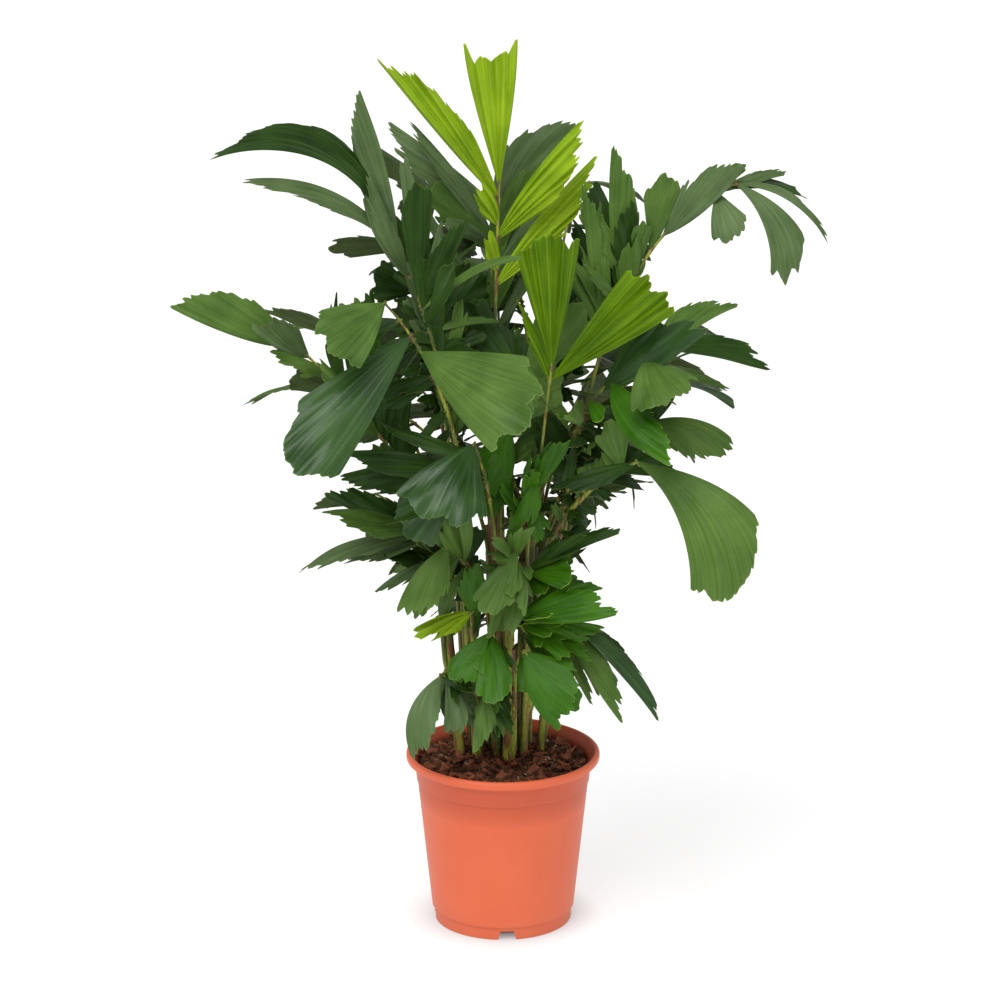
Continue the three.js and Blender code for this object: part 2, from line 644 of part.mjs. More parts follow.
// The leaflets of a rule frond: one at the end, the rest in turn to the left and right, shorter
// and more spread towards the cane.
function ruleLeaflets({ rule, curve }) {
  const { heading, out, count, size, seed } = rule;
  return Array.from({ length: count }, (_, k) => {
    const share = 1 - RULE.run * k / (count - 1);
    const side = k % 2 ? 1 : -1;
    const spread = k ? mix(...RULE.spread, k / count) : 0;
    const swing = side * radians(spread + RULE.stray * vary(seed + k));
    const rise = radians(mix(...RULE.rise, vary(seed + k + 20)) - (k ? 0 : RULE.dip));
    const length = size * mix(...RULE.length, vary(seed + k + 40)) * mix(1, RULE.inner, k / count);
    const aim = new THREE.Vector3(
      Math.cos(heading + swing) * Math.cos(rise),
      Math.sin(heading + swing) * Math.cos(rise),
      Math.sin(rise),
    );
    const kinds = [KINDS.fan, KINDS.tail, KINDS.tail_left, KINDS.fan, KINDS.tail];
    return {
      shape: kinds[Math.floor(vary(seed + k + 60) * kinds.length)],
      share,
      tip: curve.getPoint(share).addScaledVector(aim, length),
      width: length * mix(...RULE.width, vary(seed + k + 80)),
      facing: mix(...RULE.facing, vary(seed + k + 95)),
      droop: mix(...RULE.droop, vary(seed + k + 110)),
      front: out,
    };
  });
}

// True where every sample keeps its margin to the obstacles, leaving out those of its own frond.
function isClear(samples, margin, obstacles, own) {
  return samples.every(({ point, radius }) => obstacles.every((obstacle) => {
    if (obstacle.owner === own) return true;
    const least = radius + margin;
    if (point.distanceTo(obstacle.centre) > obstacle.reach + least) return true;
    return obstacle.samples.every((other) => point.distanceTo(other.point) > other.radius + least);
  }));
}

function obstacle(owner, samples) {
  const centre = new THREE.Vector3();
  samples.forEach(({ point }) => centre.addScaledVector(point, 1 / samples.length));
  const reach = Math.max(...samples.map(({ point, radius }) => point.distanceTo(centre) + radius));
  return { owner, samples, centre, reach };
}

// Grows the fronds: every stalk first, on the nearest cane with a free face, then the leaflets.
function growFronds(canes) {
  const obstacles = canes.map((cane) => obstacle(cane, limbSamples(
    (t) => cane.foot.clone().lerp(cane.tip, t),
    (t) => cane.radius * mix(1, CANE_TAPER, t),
    cane.foot.distanceTo(cane.tip),
  )));
  const fronds = planFronds().filter((frond) => {
    const choices = [];
    for (const cane of canes)
      for (let face = 0; face < CANE_SIDES; face++) {
        const angle = face * 2 * Math.PI / CANE_SIDES;
        const aim = Math.atan2(frond.hub.y - cane.tip.y, frond.hub.x - cane.tip.x);
        if (Math.cos(angle - aim) < LEAST_FACING) continue;
        const aside = Math.hypot(
          frond.hub.x * HUB_PULL - cane.tip.x,
          frond.hub.y * HUB_PULL - cane.tip.y,
        );
        const short = Math.max(0, frond.hub.z * STALK_RISE + WANTED_CANE - cane.tip.z);
        const cost = aside + COST_OF_A_FROND * cane.fronds + COST_OF_SHORTNESS * short
          + COST_OF_A_TURN * (1 - Math.cos(angle - aim));
        choices.push({ cane, face, cost });
      }
    choices.sort((a, b) => a.cost - b.cost);
    for (const { cane, face } of choices) {
      const stalk = stalkFrom(cane, face, frond);
      const samples = limbSamples((t) => stalk.curve.getPoint(t), (t) => stalkHalf(t) * Math.SQRT2,
        stalk.length);
      if (!isClear(samples, LIMB_MARGIN, obstacles, cane)) continue;
      obstacles.push(obstacle(frond, samples));
      cane.fronds += 1;
      Object.assign(frond, stalk);
      return true;
    }
    return false;
  });
  const waiting = fronds.flatMap((frond) => {
    frond.blades = [];
    return (frond.leaflets ?? ruleLeaflets(frond)).map((leaflet) => ({ frond, leaflet }));
  });
  waiting.forEach((item, i) => {
    item.twist = radians(TWIST) * (vary(i + 0.5) - 0.5);
    item.sweep = item.leaflet.sweep ?? SWEEP * (vary(i + 0.25) - 0.5);
    item.rank = item.frond.leaflets ? -item.leaflet.width : i;
  });
  waiting.sort((a, b) => a.rank - b.rank);
  for (const { frond, leaflet, twist, sweep } of waiting) {
    const foot = frond.curve.getPoint(leaflet.share);
    for (const swing of SWINGS) {
      const tip = leaflet.tip.clone().sub(foot).applyAxisAngle(UP, radians(swing)).add(foot);
      const frame = leafletFrame({ ...leaflet, twist, sweep }, foot, tip);
      const samples = leafletSamples(frame);
      if (samples.some(({ point }) => point.z < LOWEST_LEAFLET)) continue;
      if (!isClear(samples, LEAFLET_MARGIN, obstacles, frond)) continue;
      obstacles.push(obstacle(frond, samples));
      frond.blades.push(frame);
      break;
    }
  }
  return fronds;
}

function finish(colour, roughness) {
  return new THREE.MeshStandardMaterial({ color: colour, roughness, metalness: 0 });
}

const potPlastic = finish(0xe27350, 0.55);
const soilBrown = finish(0x4a2a1a, 0.95);
const caneBrown = finish(0x7d6a3c, 0.8);
const leafGreen = finish(0x2f6a2c, 0.45);
const youngGreen = finish(0x86b52e, 0.5);
const YOUNG_FRONDS = ['frond_spear', 'frond_young', 'frond_low_bright', 'frond_bright_small'];

const plant = new THREE.Group();

function place(name, geometry, material) {
  const mesh = new THREE.Mesh(geometry, material);
  mesh.name = name;
  plant.add(mesh);
}

place('pot', geometryOf(pot()), potPlastic);
place('soil', geometryOf(soil()), soilBrown);
const canes = planCanes();
canes.forEach((cane, i) => {
  place('cane_' + String(i + 1).padStart(2, '0'), caneSolid(cane), caneBrown);
});
for (const frond of growFronds(canes)) {
  let joined = solid(stalkSolid(frond));
  for (const frame of frond.blades) joined = joined.add(solid(leafletSolid(frame)));
  place(frond.name, geometryOf(joined), YOUNG_FRONDS.includes(frond.name) ? youngGreen : leafGreen);
}

export default plant;
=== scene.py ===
# %% [markdown]
# A potted clustering fishtail palm. On the real plant a dozen thin canes rise from one root in a
# round nursery pot, each cane carries a few long stalks, and each stalk carries wedge-shaped
# leaflets with a bitten end. The solids of the frame already say where each of them is. Here each
# one gets its finer mesh and its finish, in metres, in the frame's own place.

# %% Load the frame and keep its box
import math

import bmesh
import bpy
import numpy as np
from mathutils import Matrix, Vector


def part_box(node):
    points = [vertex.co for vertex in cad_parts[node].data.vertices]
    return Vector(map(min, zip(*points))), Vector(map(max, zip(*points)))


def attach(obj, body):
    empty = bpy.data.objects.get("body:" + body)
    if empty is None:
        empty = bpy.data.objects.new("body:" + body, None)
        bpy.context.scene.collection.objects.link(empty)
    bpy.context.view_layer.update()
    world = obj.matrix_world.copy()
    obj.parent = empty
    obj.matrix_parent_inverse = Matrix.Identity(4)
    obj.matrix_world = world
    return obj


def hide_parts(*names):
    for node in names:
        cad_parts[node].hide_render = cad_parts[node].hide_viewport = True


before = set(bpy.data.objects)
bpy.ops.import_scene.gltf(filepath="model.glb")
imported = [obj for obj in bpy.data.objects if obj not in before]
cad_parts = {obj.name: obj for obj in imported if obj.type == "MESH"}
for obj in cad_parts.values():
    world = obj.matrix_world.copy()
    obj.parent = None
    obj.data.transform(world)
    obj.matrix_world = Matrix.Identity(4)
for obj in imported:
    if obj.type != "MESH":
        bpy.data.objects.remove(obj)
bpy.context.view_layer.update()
MM = 0.001

# %% [markdown]
# A material is a small program: noise in, colour out. Placed by hand it is a long list of nodes and
# links, so here one class wraps a socket, and each operator on it adds the Math node for that sum.
# The same class works in Geometry Nodes. Numbers alone are worked out in Python.


# %% A socket that sums can be written with
class Wire:
    def __init__(self, kit, socket):
        self.kit = kit
        self.socket = socket

    def math(self, operation, *others):
        values = dict(enumerate((self, *others)))
        return self.kit.node("ShaderNodeMath", {"operation": operation}, values)

    def __add__(self, other):
        return self.math("ADD", other)

    def __mul__(self, other):
        return self.math("MULTIPLY", other)

    def __sub__(self, other):
        return self.math("SUBTRACT", other)

    def __rsub__(self, other):
        return self.kit.node("ShaderNodeMath", {"operation": "SUBTRACT"}, {0: other, 1: self})

    def __truediv__(self, other):
        return self.math("DIVIDE", other)

    def __pow__(self, other):
        return self.math("POWER", other)

    def __abs__(self):
        return self.math("ABSOLUTE")

    __radd__ = __add__
    __rmul__ = __mul__

    def between(self, low, high):
        """0 up to low, 1 from high on, and even in between."""
        return ((self - low) / (high - low)).math("MINIMUM", 1.0).math("MAXIMUM", 0.0)

    def zigzag(self):
        """A triangle wave from 0 to 1, one for each whole number."""
        return abs(self.math("FRACT") * 2 - 1)


# %% A node tree that is written as Python
class Kit:
    def __init__(self, tree):
        self.tree = tree

    def node(self, kind, settings=None, sockets=None, out=0):
        made = self.tree.nodes.new(kind)
        for name, value in (settings or {}).items():
            setattr(made, name, value)
        for key, value in (sockets or {}).items():
            socket = made.inputs[key] if isinstance(key, int) else next(
                s for s in made.inputs if key in (s.identifier, s.name))
            if isinstance(value, Wire):
                self.tree.links.new(value.socket, socket)
            else:
                socket.default_value = value
        return Wire(self, made.outputs[out]) if len(made.outputs) else None

    def noise(self, place, scale, detail=2.0, out="Fac"):
        sockets = {"Vector": place, "Scale": scale, "Detail": detail}
        return self.node("ShaderNodeTexNoise", None, sockets, out)

    def vector(self, operation, first, second):
        """Vector Math on places and pushes. Only a scale takes a number as its second value."""
        key = "Scale" if operation == "SCALE" else 1
        return self.node("ShaderNodeVectorMath", {"operation": operation}, {0: first, key: second})

    def stretched(self, place, x, y, z):
        """The same place with its axes scaled, so that a noise on it is drawn out along one."""
        return self.vector("MULTIPLY", place, (x, y, z))

    def joined(self, x, y, z):
        return self.node("ShaderNodeCombineXYZ", None, {0: x, 1: y, 2: z})

    def blend(self, share, low, high, way="MIX"):
        settings = {"data_type": "RGBA", "blend_type": way, "clamp_factor": True}
        return self.node("ShaderNodeMix", settings,
                         {"Factor_Float": share, "A_Color": low, "B_Color": high}, "Result")

    def part(self, vector, axis):
        return self.node("ShaderNodeSeparateXYZ", None, {"Vector": vector}, axis)

    def from_axis(self, place):
        """How far a place is from the pot's axis."""
        return (self.part(place, "X") ** 2 + self.part(place, "Y") ** 2) ** 0.5


# %% Helpers for the finishes
WHITE = (1.0, 1.0, 1.0, 1.0)
BLACK = (0.0, 0.0, 0.0, 1.0)


def colour(red, green, blue):
    """A colour read off a screen, 0 to 255, as the light that a shader sums with."""
    shares = [channel / 255 for channel in (red, green, blue)]
    light = [s / 12.92 if s <= 0.04045 else ((s + 0.055) / 1.055) ** 2.4 for s in shares]
    return (*light, 1.0)


def begin_finish(name):
    material = bpy.data.materials.new(name)
    material.use_nodes = True
    material.node_tree.nodes.clear()
    return material, Kit(material.node_tree)


def end_finish(kit, base, roughness, height, bump_depth, specular=0.5, glow=0.0, tint=WHITE):
    """The shader itself: what changes over the surface is linked, the rest is set on its socket."""
    bump = kit.node("ShaderNodeBump", None, {"Strength": 1.0, "Distance": bump_depth, "Height": height})
    shader = kit.node("ShaderNodeBsdfPrincipled", None, {
        "Base Color": base, "Roughness": roughness, "Normal": bump,
        "Specular IOR Level": specular, "Emission Color": tint, "Emission Strength": glow,
    })
    kit.node("ShaderNodeOutputMaterial", None, {"Surface": shader})


def object_place(kit):
    return kit.node("ShaderNodeTexCoord", out="Object")


# %% Helpers for the pieces
def mesh_from(name, points, quads, uv=None, sides=None, smooth=True):
    """A mesh from arrays: points in metres, faces of four corners, and a UV for each point."""
    mesh = bpy.data.meshes.new(name)
    mesh.vertices.add(len(points))
    mesh.vertices.foreach_set("co", np.asarray(points, np.float32).ravel())
    mesh.loops.add(quads.size)
    mesh.loops.foreach_set("vertex_index", quads.astype(np.int32).ravel())
    mesh.polygons.add(len(quads))
    mesh.polygons.foreach_set("loop_start", np.arange(0, quads.size, 4, dtype=np.int32))
    if sides is not None:
        mesh.polygons.foreach_set("material_index", sides.astype(np.int32))
    mesh.update(calc_edges=True)
    if uv is not None:
        layer = mesh.uv_layers.new(name="blade")
        layer.data.foreach_set("uv", uv[quads.ravel()].astype(np.float32).ravel())
    mesh.polygons.foreach_set("use_smooth", np.full(len(quads), smooth))
    return mesh


def triangle_count(mesh):
    return sum(len(polygon.vertices) - 2 for polygon in mesh.polygons)


def add_object(name, data):
    """A new object in the scene, at the origin, unturned and unscaled."""
    made = bpy.data.objects.new(name, data)
    bpy.context.scene.collection.objects.link(made)
    return made


def finished_mesh(holder):
    """What an object's modifiers make of its mesh, as a plain mesh. The object is removed."""
    evaluated = holder.evaluated_get(bpy.context.evaluated_depsgraph_get())
    mesh = bpy.data.meshes.new_from_object(evaluated)
    bpy.data.objects.remove(holder)
    return mesh


def place_piece(name, mesh, nodes=(), finishes=()):
    """Puts a finished mesh in the scene, riding on the plant's one body."""
    piece = add_object(name, mesh)
    if finishes:
        mesh.materials.clear()
    for material in finishes:
        mesh.materials.append(material)
    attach(piece, "root")
    if nodes:
        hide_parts(*nodes)
    print(name, "has", triangle_count(mesh), "triangles and stands for", len(nodes), "nodes")


# %% Helpers for Geometry Nodes
INPUT_KINDS = {
    int: "NodeSocketInt", float: "NodeSocketFloat", type(None): "NodeSocketMaterial",
}


def begin_tree(name, sizes):
    """A Geometry Nodes tree with a named input for each size."""
    tree = bpy.data.node_groups.new(name, "GeometryNodeTree")
    tree.interface.new_socket("Geometry", in_out="INPUT", socket_type="NodeSocketGeometry")
    tree.interface.new_socket("Geometry", in_out="OUTPUT", socket_type="NodeSocketGeometry")
    for title, value in sizes.items():
        socket = tree.interface.new_socket(title, in_out="INPUT", socket_type=INPUT_KINDS[type(value)])
        if value is not None:
            socket.default_value = value
    kit = Kit(tree)
    group = tree.nodes.new("NodeGroupInput")
    return kit, {socket.name: Wire(kit, socket) for socket in group.outputs if socket.name}


def end_tree(kit, geometry, material):
    """Ends a tree in real meshes with their material, and gives the tree."""
    plain = kit.node("GeometryNodeRealizeInstances", None, {"Geometry": geometry})
    dressed = kit.node("GeometryNodeSetMaterial", None, {"Geometry": plain, "Material": material})
    kit.node("NodeGroupOutput", None, {"Geometry": dressed})
    return kit.tree


def run_tree(tree, start, **sizes):
    """Runs a tree on a mesh and gives the plain mesh that comes out of it."""
    holder = add_object(start.name, start)
    modifier = holder.modifiers.new(tree.name, "NODES")
    modifier.node_group = tree
    for item in tree.interface.items_tree:
        if item.in_out == "INPUT" and item.name in sizes:
            modifier[item.identifier] = sizes[item.name]
    return finished_mesh(holder)


# %% [markdown]
# The pot is a moulded nursery pot of thin satin plastic: a rolled lip, a collar with a fine step
# line under it, a tapered wall, and a foot ring with four drainage notches. A moulded pot is round,
# so its outline is turned in many steps. The notches are cut out of that wall afterwards, by
# Booleans, as the mould's own inserts leave them, because their walls show through the openings.

# %% Pot sizes, as in the frame
POT_HEIGHT = 0.230
RIM_RADIUS = 0.1255
LIP_HEIGHT = 0.012
LIP_WIDTH = 0.007
NECK_RADIUS = 0.115
COLLAR_HEIGHT = 0.027
STEP = 0.0012
FOOT_RADIUS = 0.0925
FOOT_HEIGHT = 0.0175
FOOT_INSET = 0.0032
WALL = 0.003
FOOT_RING = 0.010
FOOT_HOLLOW = 0.009
NOTCH_WIDTH = 0.024
NOTCH_HEIGHT = 0.012
NOTCH_DEPTH = 0.034
NOTCH_SKIN = 0.002
NOTCH_TURN = -86.5
NOTCH_TAPER = {"low": 1.28, "high": 0.72}
NOTCHES = 4
LIP_ROUND = 0.0045
MOUTH_ROUND = 0.003
LEDGE_ROUND = 0.0012
MOUTH_DROP = 0.004
POT_STEPS = 160


def wall_radius(height):
    share = (height - FOOT_HEIGHT) / (POT_HEIGHT - LIP_HEIGHT - FOOT_HEIGHT)
    return FOOT_RADIUS + (NECK_RADIUS - FOOT_RADIUS) * share


def arc(radius, height, size, start, end, steps):
    """Points on a round corner of an outline, from one angle to another in degrees."""
    angles = np.radians(np.linspace(start, end, steps))
    return [(radius + size * math.cos(a), height + size * math.sin(a)) for a in angles]


# %% Turn and cut
def turned(name, outline):
    """A closed solid turned round Z from an outline that starts and ends on the axis."""
    steps = POT_STEPS
    ring = np.linspace(0, 2 * math.pi, steps, endpoint=False)
    inner = np.array(outline[1:-1])
    points = np.stack([
        np.outer(inner[:, 0], np.cos(ring)),
        np.outer(inner[:, 0], np.sin(ring)),
        np.repeat(inner[:, 1:], steps, axis=1),
    ], axis=-1).reshape(-1, 3)
    shape = bmesh.new()
    corners = [shape.verts.new(point) for point in points]
    low = shape.verts.new((0, 0, outline[0][1]))
    high = shape.verts.new((0, 0, outline[-1][1]))
    last = (len(inner) - 1) * steps
    for step in range(steps):
        after = (step + 1) % steps
        shape.faces.new((low, corners[after], corners[step]))
        shape.faces.new((high, corners[last + step], corners[last + after]))
        for row in range(0, last, steps):
            shape.faces.new((corners[row + step], corners[row + after],
                             corners[row + steps + after], corners[row + steps + step]))
    mesh = bpy.data.meshes.new(name)
    shape.to_mesh(mesh)
    shape.free()
    return mesh


def notch_blocks(name, skin):
    """Four slightly tapered blocks that run in from the foot."""
    shape = bmesh.new()
    for i in range(NOTCHES):
        made = bmesh.ops.create_cube(shape, size=1.0)["verts"]
        turn = Matrix.Rotation(math.radians(NOTCH_TURN + i * 360 / NOTCHES), 4, "Z")
        for corner in made:
            taper = NOTCH_TAPER["high" if corner.co.z > 0 else "low"]
            corner.co.x = FOOT_RADIUS + MM + (corner.co.x - 0.5) * (NOTCH_DEPTH + skin)
            corner.co.y *= (NOTCH_WIDTH + 2 * skin) * taper
            corner.co.z *= 2 * (NOTCH_HEIGHT + skin)
            corner.co = turn @ corner.co
    mesh = bpy.data.meshes.new(name)
    shape.to_mesh(mesh)
    shape.free()
    return mesh


def cut(body, tool):
    """One mesh less another."""
    whole = add_object("whole", body)
    knife = add_object("knife", tool)
    modifier = whole.modifiers.new("cut", "BOOLEAN")
    modifier.operation = "DIFFERENCE"
    modifier.solver = "EXACT"
    modifier.object = knife
    mesh = finished_mesh(whole)
    bpy.data.objects.remove(knife)
    return mesh


# %% Build the pot
neck = POT_HEIGHT - LIP_HEIGHT
step_line = neck - COLLAR_HEIGHT
foot = FOOT_RADIUS - FOOT_INSET
mouth = wall_radius(neck) - STEP - WALL
shelf = neck - MOUTH_DROP
outside = turned("pot_outside", [
    (0, 0), (foot * 0.5, 0), (foot - 0.0015, 0), (foot - 0.0004, 0.0006), (foot, 0.002),
    (foot, FOOT_HEIGHT - FOOT_INSET), (foot + 0.0004, FOOT_HEIGHT - 0.0016),
    *arc(FOOT_RADIUS - LEDGE_ROUND, FOOT_HEIGHT + LEDGE_ROUND, LEDGE_ROUND, -70, 0, 4),
    *[(wall_radius(h) - STEP * (h - FOOT_HEIGHT) / (step_line - FOOT_HEIGHT), h)
      for h in np.linspace(FOOT_HEIGHT + 0.006, step_line - 0.0006, 9)],
    (wall_radius(step_line) - STEP * 0.35, step_line), (wall_radius(step_line), step_line + 0.0012),
    (NECK_RADIUS - 0.0006, neck - 0.004), (NECK_RADIUS, neck - 0.0016),
    (NECK_RADIUS + 0.0008, neck - 0.0004), (NECK_RADIUS + 0.0022, neck),
    *arc(RIM_RADIUS - LIP_ROUND, neck + LIP_ROUND, LIP_ROUND, -90, 0, 9),
    *arc(RIM_RADIUS - LIP_ROUND, POT_HEIGHT - LIP_ROUND, LIP_ROUND, 0, 90, 9),
    *arc(RIM_RADIUS - LIP_WIDTH + MOUTH_ROUND, POT_HEIGHT - MOUTH_ROUND, MOUTH_ROUND, 90, 176, 7),
    (mouth + 0.0012, neck + 0.002), (mouth, shelf), (0, shelf),
])
base = FOOT_HOLLOW + WALL
above = neck + 0.02
inside = turned("pot_inside", [
    (0, base), (foot - WALL - MM, base), (wall_radius(FOOT_HEIGHT) - STEP - WALL, FOOT_HEIGHT),
    (mouth, shelf), (mouth, above), (0, above),
])
under_foot = turned("under_foot", [
    (0, -0.01), (foot - FOOT_RING, -0.01), (foot - FOOT_RING - MM, FOOT_HOLLOW), (0, FOOT_HOLLOW),
])
inside = cut(inside, notch_blocks("notch_skins", NOTCH_SKIN))
pot_mesh = cut(cut(cut(outside, inside), under_foot), notch_blocks("notches", 0.0))
pot_mesh.name = "pot_shell"
print("the pot has", triangle_count(pot_mesh), "triangles")

# %% [markdown]
# The plastic is a warm orange with a soft sheen. Up close it has the grain of the mould, and on a
# used pot a little dust gathers at the foot. Inside the rim, above the soil, the plastic is painted
# a deeper orange as shade. Noise at two scales gives the unevenness, and the height over the floor
# tells where the dust lies.


# %% Pot plastic
def pot_plastic():
    material, kit = begin_finish("orange_plastic")
    place = object_place(kit)
    height = kit.part(place, "Z")
    cloud = kit.noise(place, 16.0, 3.0)
    scuffs = kit.noise(kit.stretched(place, 1.0, 1.0, 0.25), 180.0, 4.0)
    grain = kit.noise(place, 1600.0, 1.0)
    dust = (1 - height.between(0.0, 0.04)) * cloud * 0.3 + scuffs.between(0.68, 0.8) * 0.08
    clean = kit.blend(cloud.between(0.3, 0.7), colour(215, 98, 62), colour(219, 103, 66))
    # Painted shade: inside the mouth, above the soil, the plastic is darkened to a deep orange.
    painted_mouth_shade = (1 - kit.from_axis(place).between(0.1085, 0.1165)) * height.between(0.16, 0.2)
    clean = kit.blend(painted_mouth_shade * 0.8, clean, colour(160, 56, 34))
    base = kit.blend(dust, clean, colour(204, 126, 98))
    end_finish(kit, base, 0.42 + cloud * 0.08 + dust * 0.2, grain + scuffs, 0.00005, specular=0.36)
    return material


pot_mesh.polygons.foreach_set("use_smooth", np.ones(len(pot_mesh.polygons), bool))
pot_mesh.set_sharp_from_angle(angle=math.radians(38))
place_piece("pot_shell", pot_mesh, ["pot"], [pot_plastic()])

# %% [markdown]
# The soil is topped with shredded bark: dark damp fibres, some redder chips of wood and a few pale
# crumbs, heaped a little round the canes. A bed with low bumps carries them. The chips are
# scattered over it by Geometry Nodes, because thousands of pieces that differ only in turn and
# size are exactly what instances are for, and then they are made real and pushed out of shape.

# %% Soil bed sizes
SOIL_TOP = 0.217
SOIL_EDGE_DROP = 0.004
SOIL_FLAT_RADIUS = 0.085
CLUMP_RADIUS = 0.058
BED_GAP = 0.0006
BED_BELOW = 0.002
BED_WAVE = 0.0007
BED_DEPTH = 0.03
BED_TURNS = 96
BED_RINGS = 30
INNERMOST = 0.02
bed_radius = wall_radius(SOIL_TOP - SOIL_EDGE_DROP) - STEP - WALL - BED_GAP


def bed_height(radius, angle):
    """The bed's surface: flat in the middle, lower at the wall, with low waves."""
    fall = np.clip((radius - SOIL_FLAT_RADIUS) / (bed_radius - SOIL_FLAT_RADIUS), 0, 1)
    waves = np.sin(3 * angle + radius * 120) + np.sin(5 * angle - radius * 190 + 2)
    return SOIL_TOP - BED_BELOW - SOIL_EDGE_DROP * fall + BED_WAVE * waves


def rings_mesh(name, radius, angle, height, closed):
    """Rings of points, each joined to the next, and the last to the first where it is closed."""
    points = np.stack([radius * np.cos(angle), radius * np.sin(angle), height], axis=-1)
    index = np.arange(height.size).reshape(height.shape)
    if closed:
        index = np.concatenate([index, index[:1]])
    after = np.roll(index, -1, axis=1)
    quads = np.stack([index[:-1], index[1:], after[1:], after[:-1]], axis=-1)
    return mesh_from(name, points.reshape(-1, 3), quads.reshape(-1, 4))


def soil_bed():
    """A closed round block: rings of the bed's surface, and a wall down to a flat underside."""
    angle = np.linspace(0, 2 * math.pi, BED_TURNS, endpoint=False)[None, :]
    radius = bed_radius * np.linspace(INNERMOST, 1, BED_RINGS)[:, None]
    underside = np.full((2, BED_TURNS), SOIL_TOP - BED_DEPTH)
    height = np.concatenate([bed_height(radius, angle), underside])
    radius = np.concatenate([radius, [[bed_radius], [INNERMOST * bed_radius]]])
    return rings_mesh("soil_bed", radius, angle, height, closed=True)


# %% Bark finishes
def bark_finish(name, dark, light, speck):
    """Damp wood: a fine grain over broader patches, dark to light, with a few bright specks."""
    material, kit = begin_finish(name)
    place = object_place(kit)
    fibre = kit.noise(place, 620.0, 4.0)
    patch = kit.noise(place, 60.0, 2.0)
    base = kit.blend((fibre * 0.6 + patch * 0.5).between(0.4, 0.7), dark, light)
    base = kit.blend(fibre.between(0.66, 0.74) * 0.5, base, speck)
    end_finish(kit, base, 0.85 - fibre * 0.2, fibre, 0.0006, specular=0.3)
    return material


mulch_dark = bark_finish("bark_dark", colour(36, 20, 12), colour(108, 64, 40), colour(160, 110, 76))
mulch_red = bark_finish("bark_red", colour(98, 50, 30), colour(152, 90, 58), colour(190, 134, 100))
mulch_pale = bark_finish("bark_pale", colour(128, 104, 82), colour(186, 164, 138), colour(214, 198, 176))
place_piece("soil_bed", soil_bed(), ["soil"], [mulch_dark])


# %% The tree that scatters bark chips
SMALLEST_CHIP = (0.35, 0.4, 0.4)
LARGEST_CHIP = (1.6, 1.5, 1.5)


def mulch_tree():
    kit, size = begin_tree("bark chips", {
        "Density": 1000.0, "Length": 0.012, "Width": 0.004, "Thickness": 0.0015, "Tilt": 0.4,
        "Lift": 0.001, "Roughness": 0.002, "Seed": 1, "Material": None,
    })
    points = kit.node("GeometryNodeDistributePointsOnFaces", {"distribute_method": "RANDOM"}, {
        "Mesh": size["Geometry"], "Density": size["Density"], "Seed": size["Seed"]})
    lean = kit.joined(size["Tilt"], size["Tilt"], math.pi)
    lean_back = kit.vector("SCALE", lean, -1.0)
    turn = kit.node("FunctionNodeRandomValue", {"data_type": "FLOAT_VECTOR"}, {
        "Min": lean_back, "Max": lean, "Seed": size["Seed"]})
    grow = kit.node("FunctionNodeRandomValue", {"data_type": "FLOAT_VECTOR"}, {
        "Min": SMALLEST_CHIP, "Max": LARGEST_CHIP, "Seed": size["Seed"] + 7})
    block = kit.joined(size["Length"], size["Width"], size["Thickness"])
    chip = kit.node("GeometryNodeMeshCube", None, {
        "Size": block, "Vertices X": 5, "Vertices Y": 3, "Vertices Z": 2})
    spread = kit.node("GeometryNodeInstanceOnPoints", None, {
        "Points": points, "Instance": chip, "Scale": grow,
        "Rotation": kit.node("FunctionNodeEulerToRotation", None, {"Euler": turn})})
    real = kit.node("GeometryNodeRealizeInstances", None, {"Geometry": spread})
    place = kit.node("GeometryNodeInputPosition")
    wild = kit.noise(place, 160.0, 3.0, "Color")
    centred = kit.vector("SUBTRACT", wild, (0.5, 0.5, 0.5))
    push = kit.vector("SCALE", centred, size["Roughness"] * 4)
    rise = kit.joined(0.0, 0.0, size["Lift"])
    moved = kit.node("GeometryNodeSetPosition", None, {
        "Geometry": real, "Offset": kit.vector("ADD", push, rise)})
    return end_tree(kit, moved, size["Material"])


# %% Scatter the chips
def scatter_disc(radius):
    """The part of the bed's surface that chips may lie on, as a disc of its own."""
    angle = np.linspace(0, 2 * math.pi, 48, endpoint=False)[None, :]
    reach = radius * np.linspace(INNERMOST, 1, 12)[:, None]
    return rings_mesh("scatter", reach, angle, bed_height(reach, angle), closed=False)


# name, material, count, length, width, thickness, tilt, lift, seed; in millimetres, tilt in radians
CHIPS = [
    ("bark_fibres", mulch_dark, 1500, 19, 2.4, 1.5, 0.75, 2.4, 3),
    ("bark_slabs", mulch_dark, 240, 16, 7.5, 2.4, 0.7, 3.4, 11),
    ("bark_chips", mulch_red, 150, 20, 8.0, 2.4, 0.75, 4.4, 5),
    ("bark_crumbs", mulch_pale, 70, 3.4, 2.2, 1.4, 0.9, 5.0, 8),
    ("bark_splinters", mulch_pale, 12, 17, 7.5, 2.0, 0.5, 5.0, 21),
]
mulch = mulch_tree()
for name, material, count, length, width, thickness, tilt, lift, seed in CHIPS:
    reach = bed_radius - 0.55 * length * MM
    mesh = run_tree(mulch, scatter_disc(reach), **{
        "Density": count / (math.pi * reach ** 2), "Length": length * MM, "Width": width * MM,
        "Thickness": thickness * MM, "Tilt": tilt, "Lift": lift * MM, "Roughness": width * 0.3 * MM,
        "Seed": seed, "Material": material,
    })
    place_piece(name, mesh)

# %% [markdown]
# How the palm grows. The frame's canes, stalks and leaflets came from one seeded rule, and the same
# rule is written again here, in the millimetres of its plan, so that each fine blade lies where its
# solid is. Every number that looks random comes from a seed. A leaflet that would touch another
# frond is swung aside, and is left out if no swing helps.

# %% Numbers that look random, and mixes
GAP = 0.3
GROUND = SOIL_TOP / MM
UP = np.array([0.0, 0.0, 1.0])
FRONT = np.array([0.0, -1.0, 0.0])


def vary(seed):
    wave = math.sin(seed * 127.1) * 43758.5453
    return wave - math.floor(wave)


def mix(low, high, share):
    return (1 - share) * low + share * high


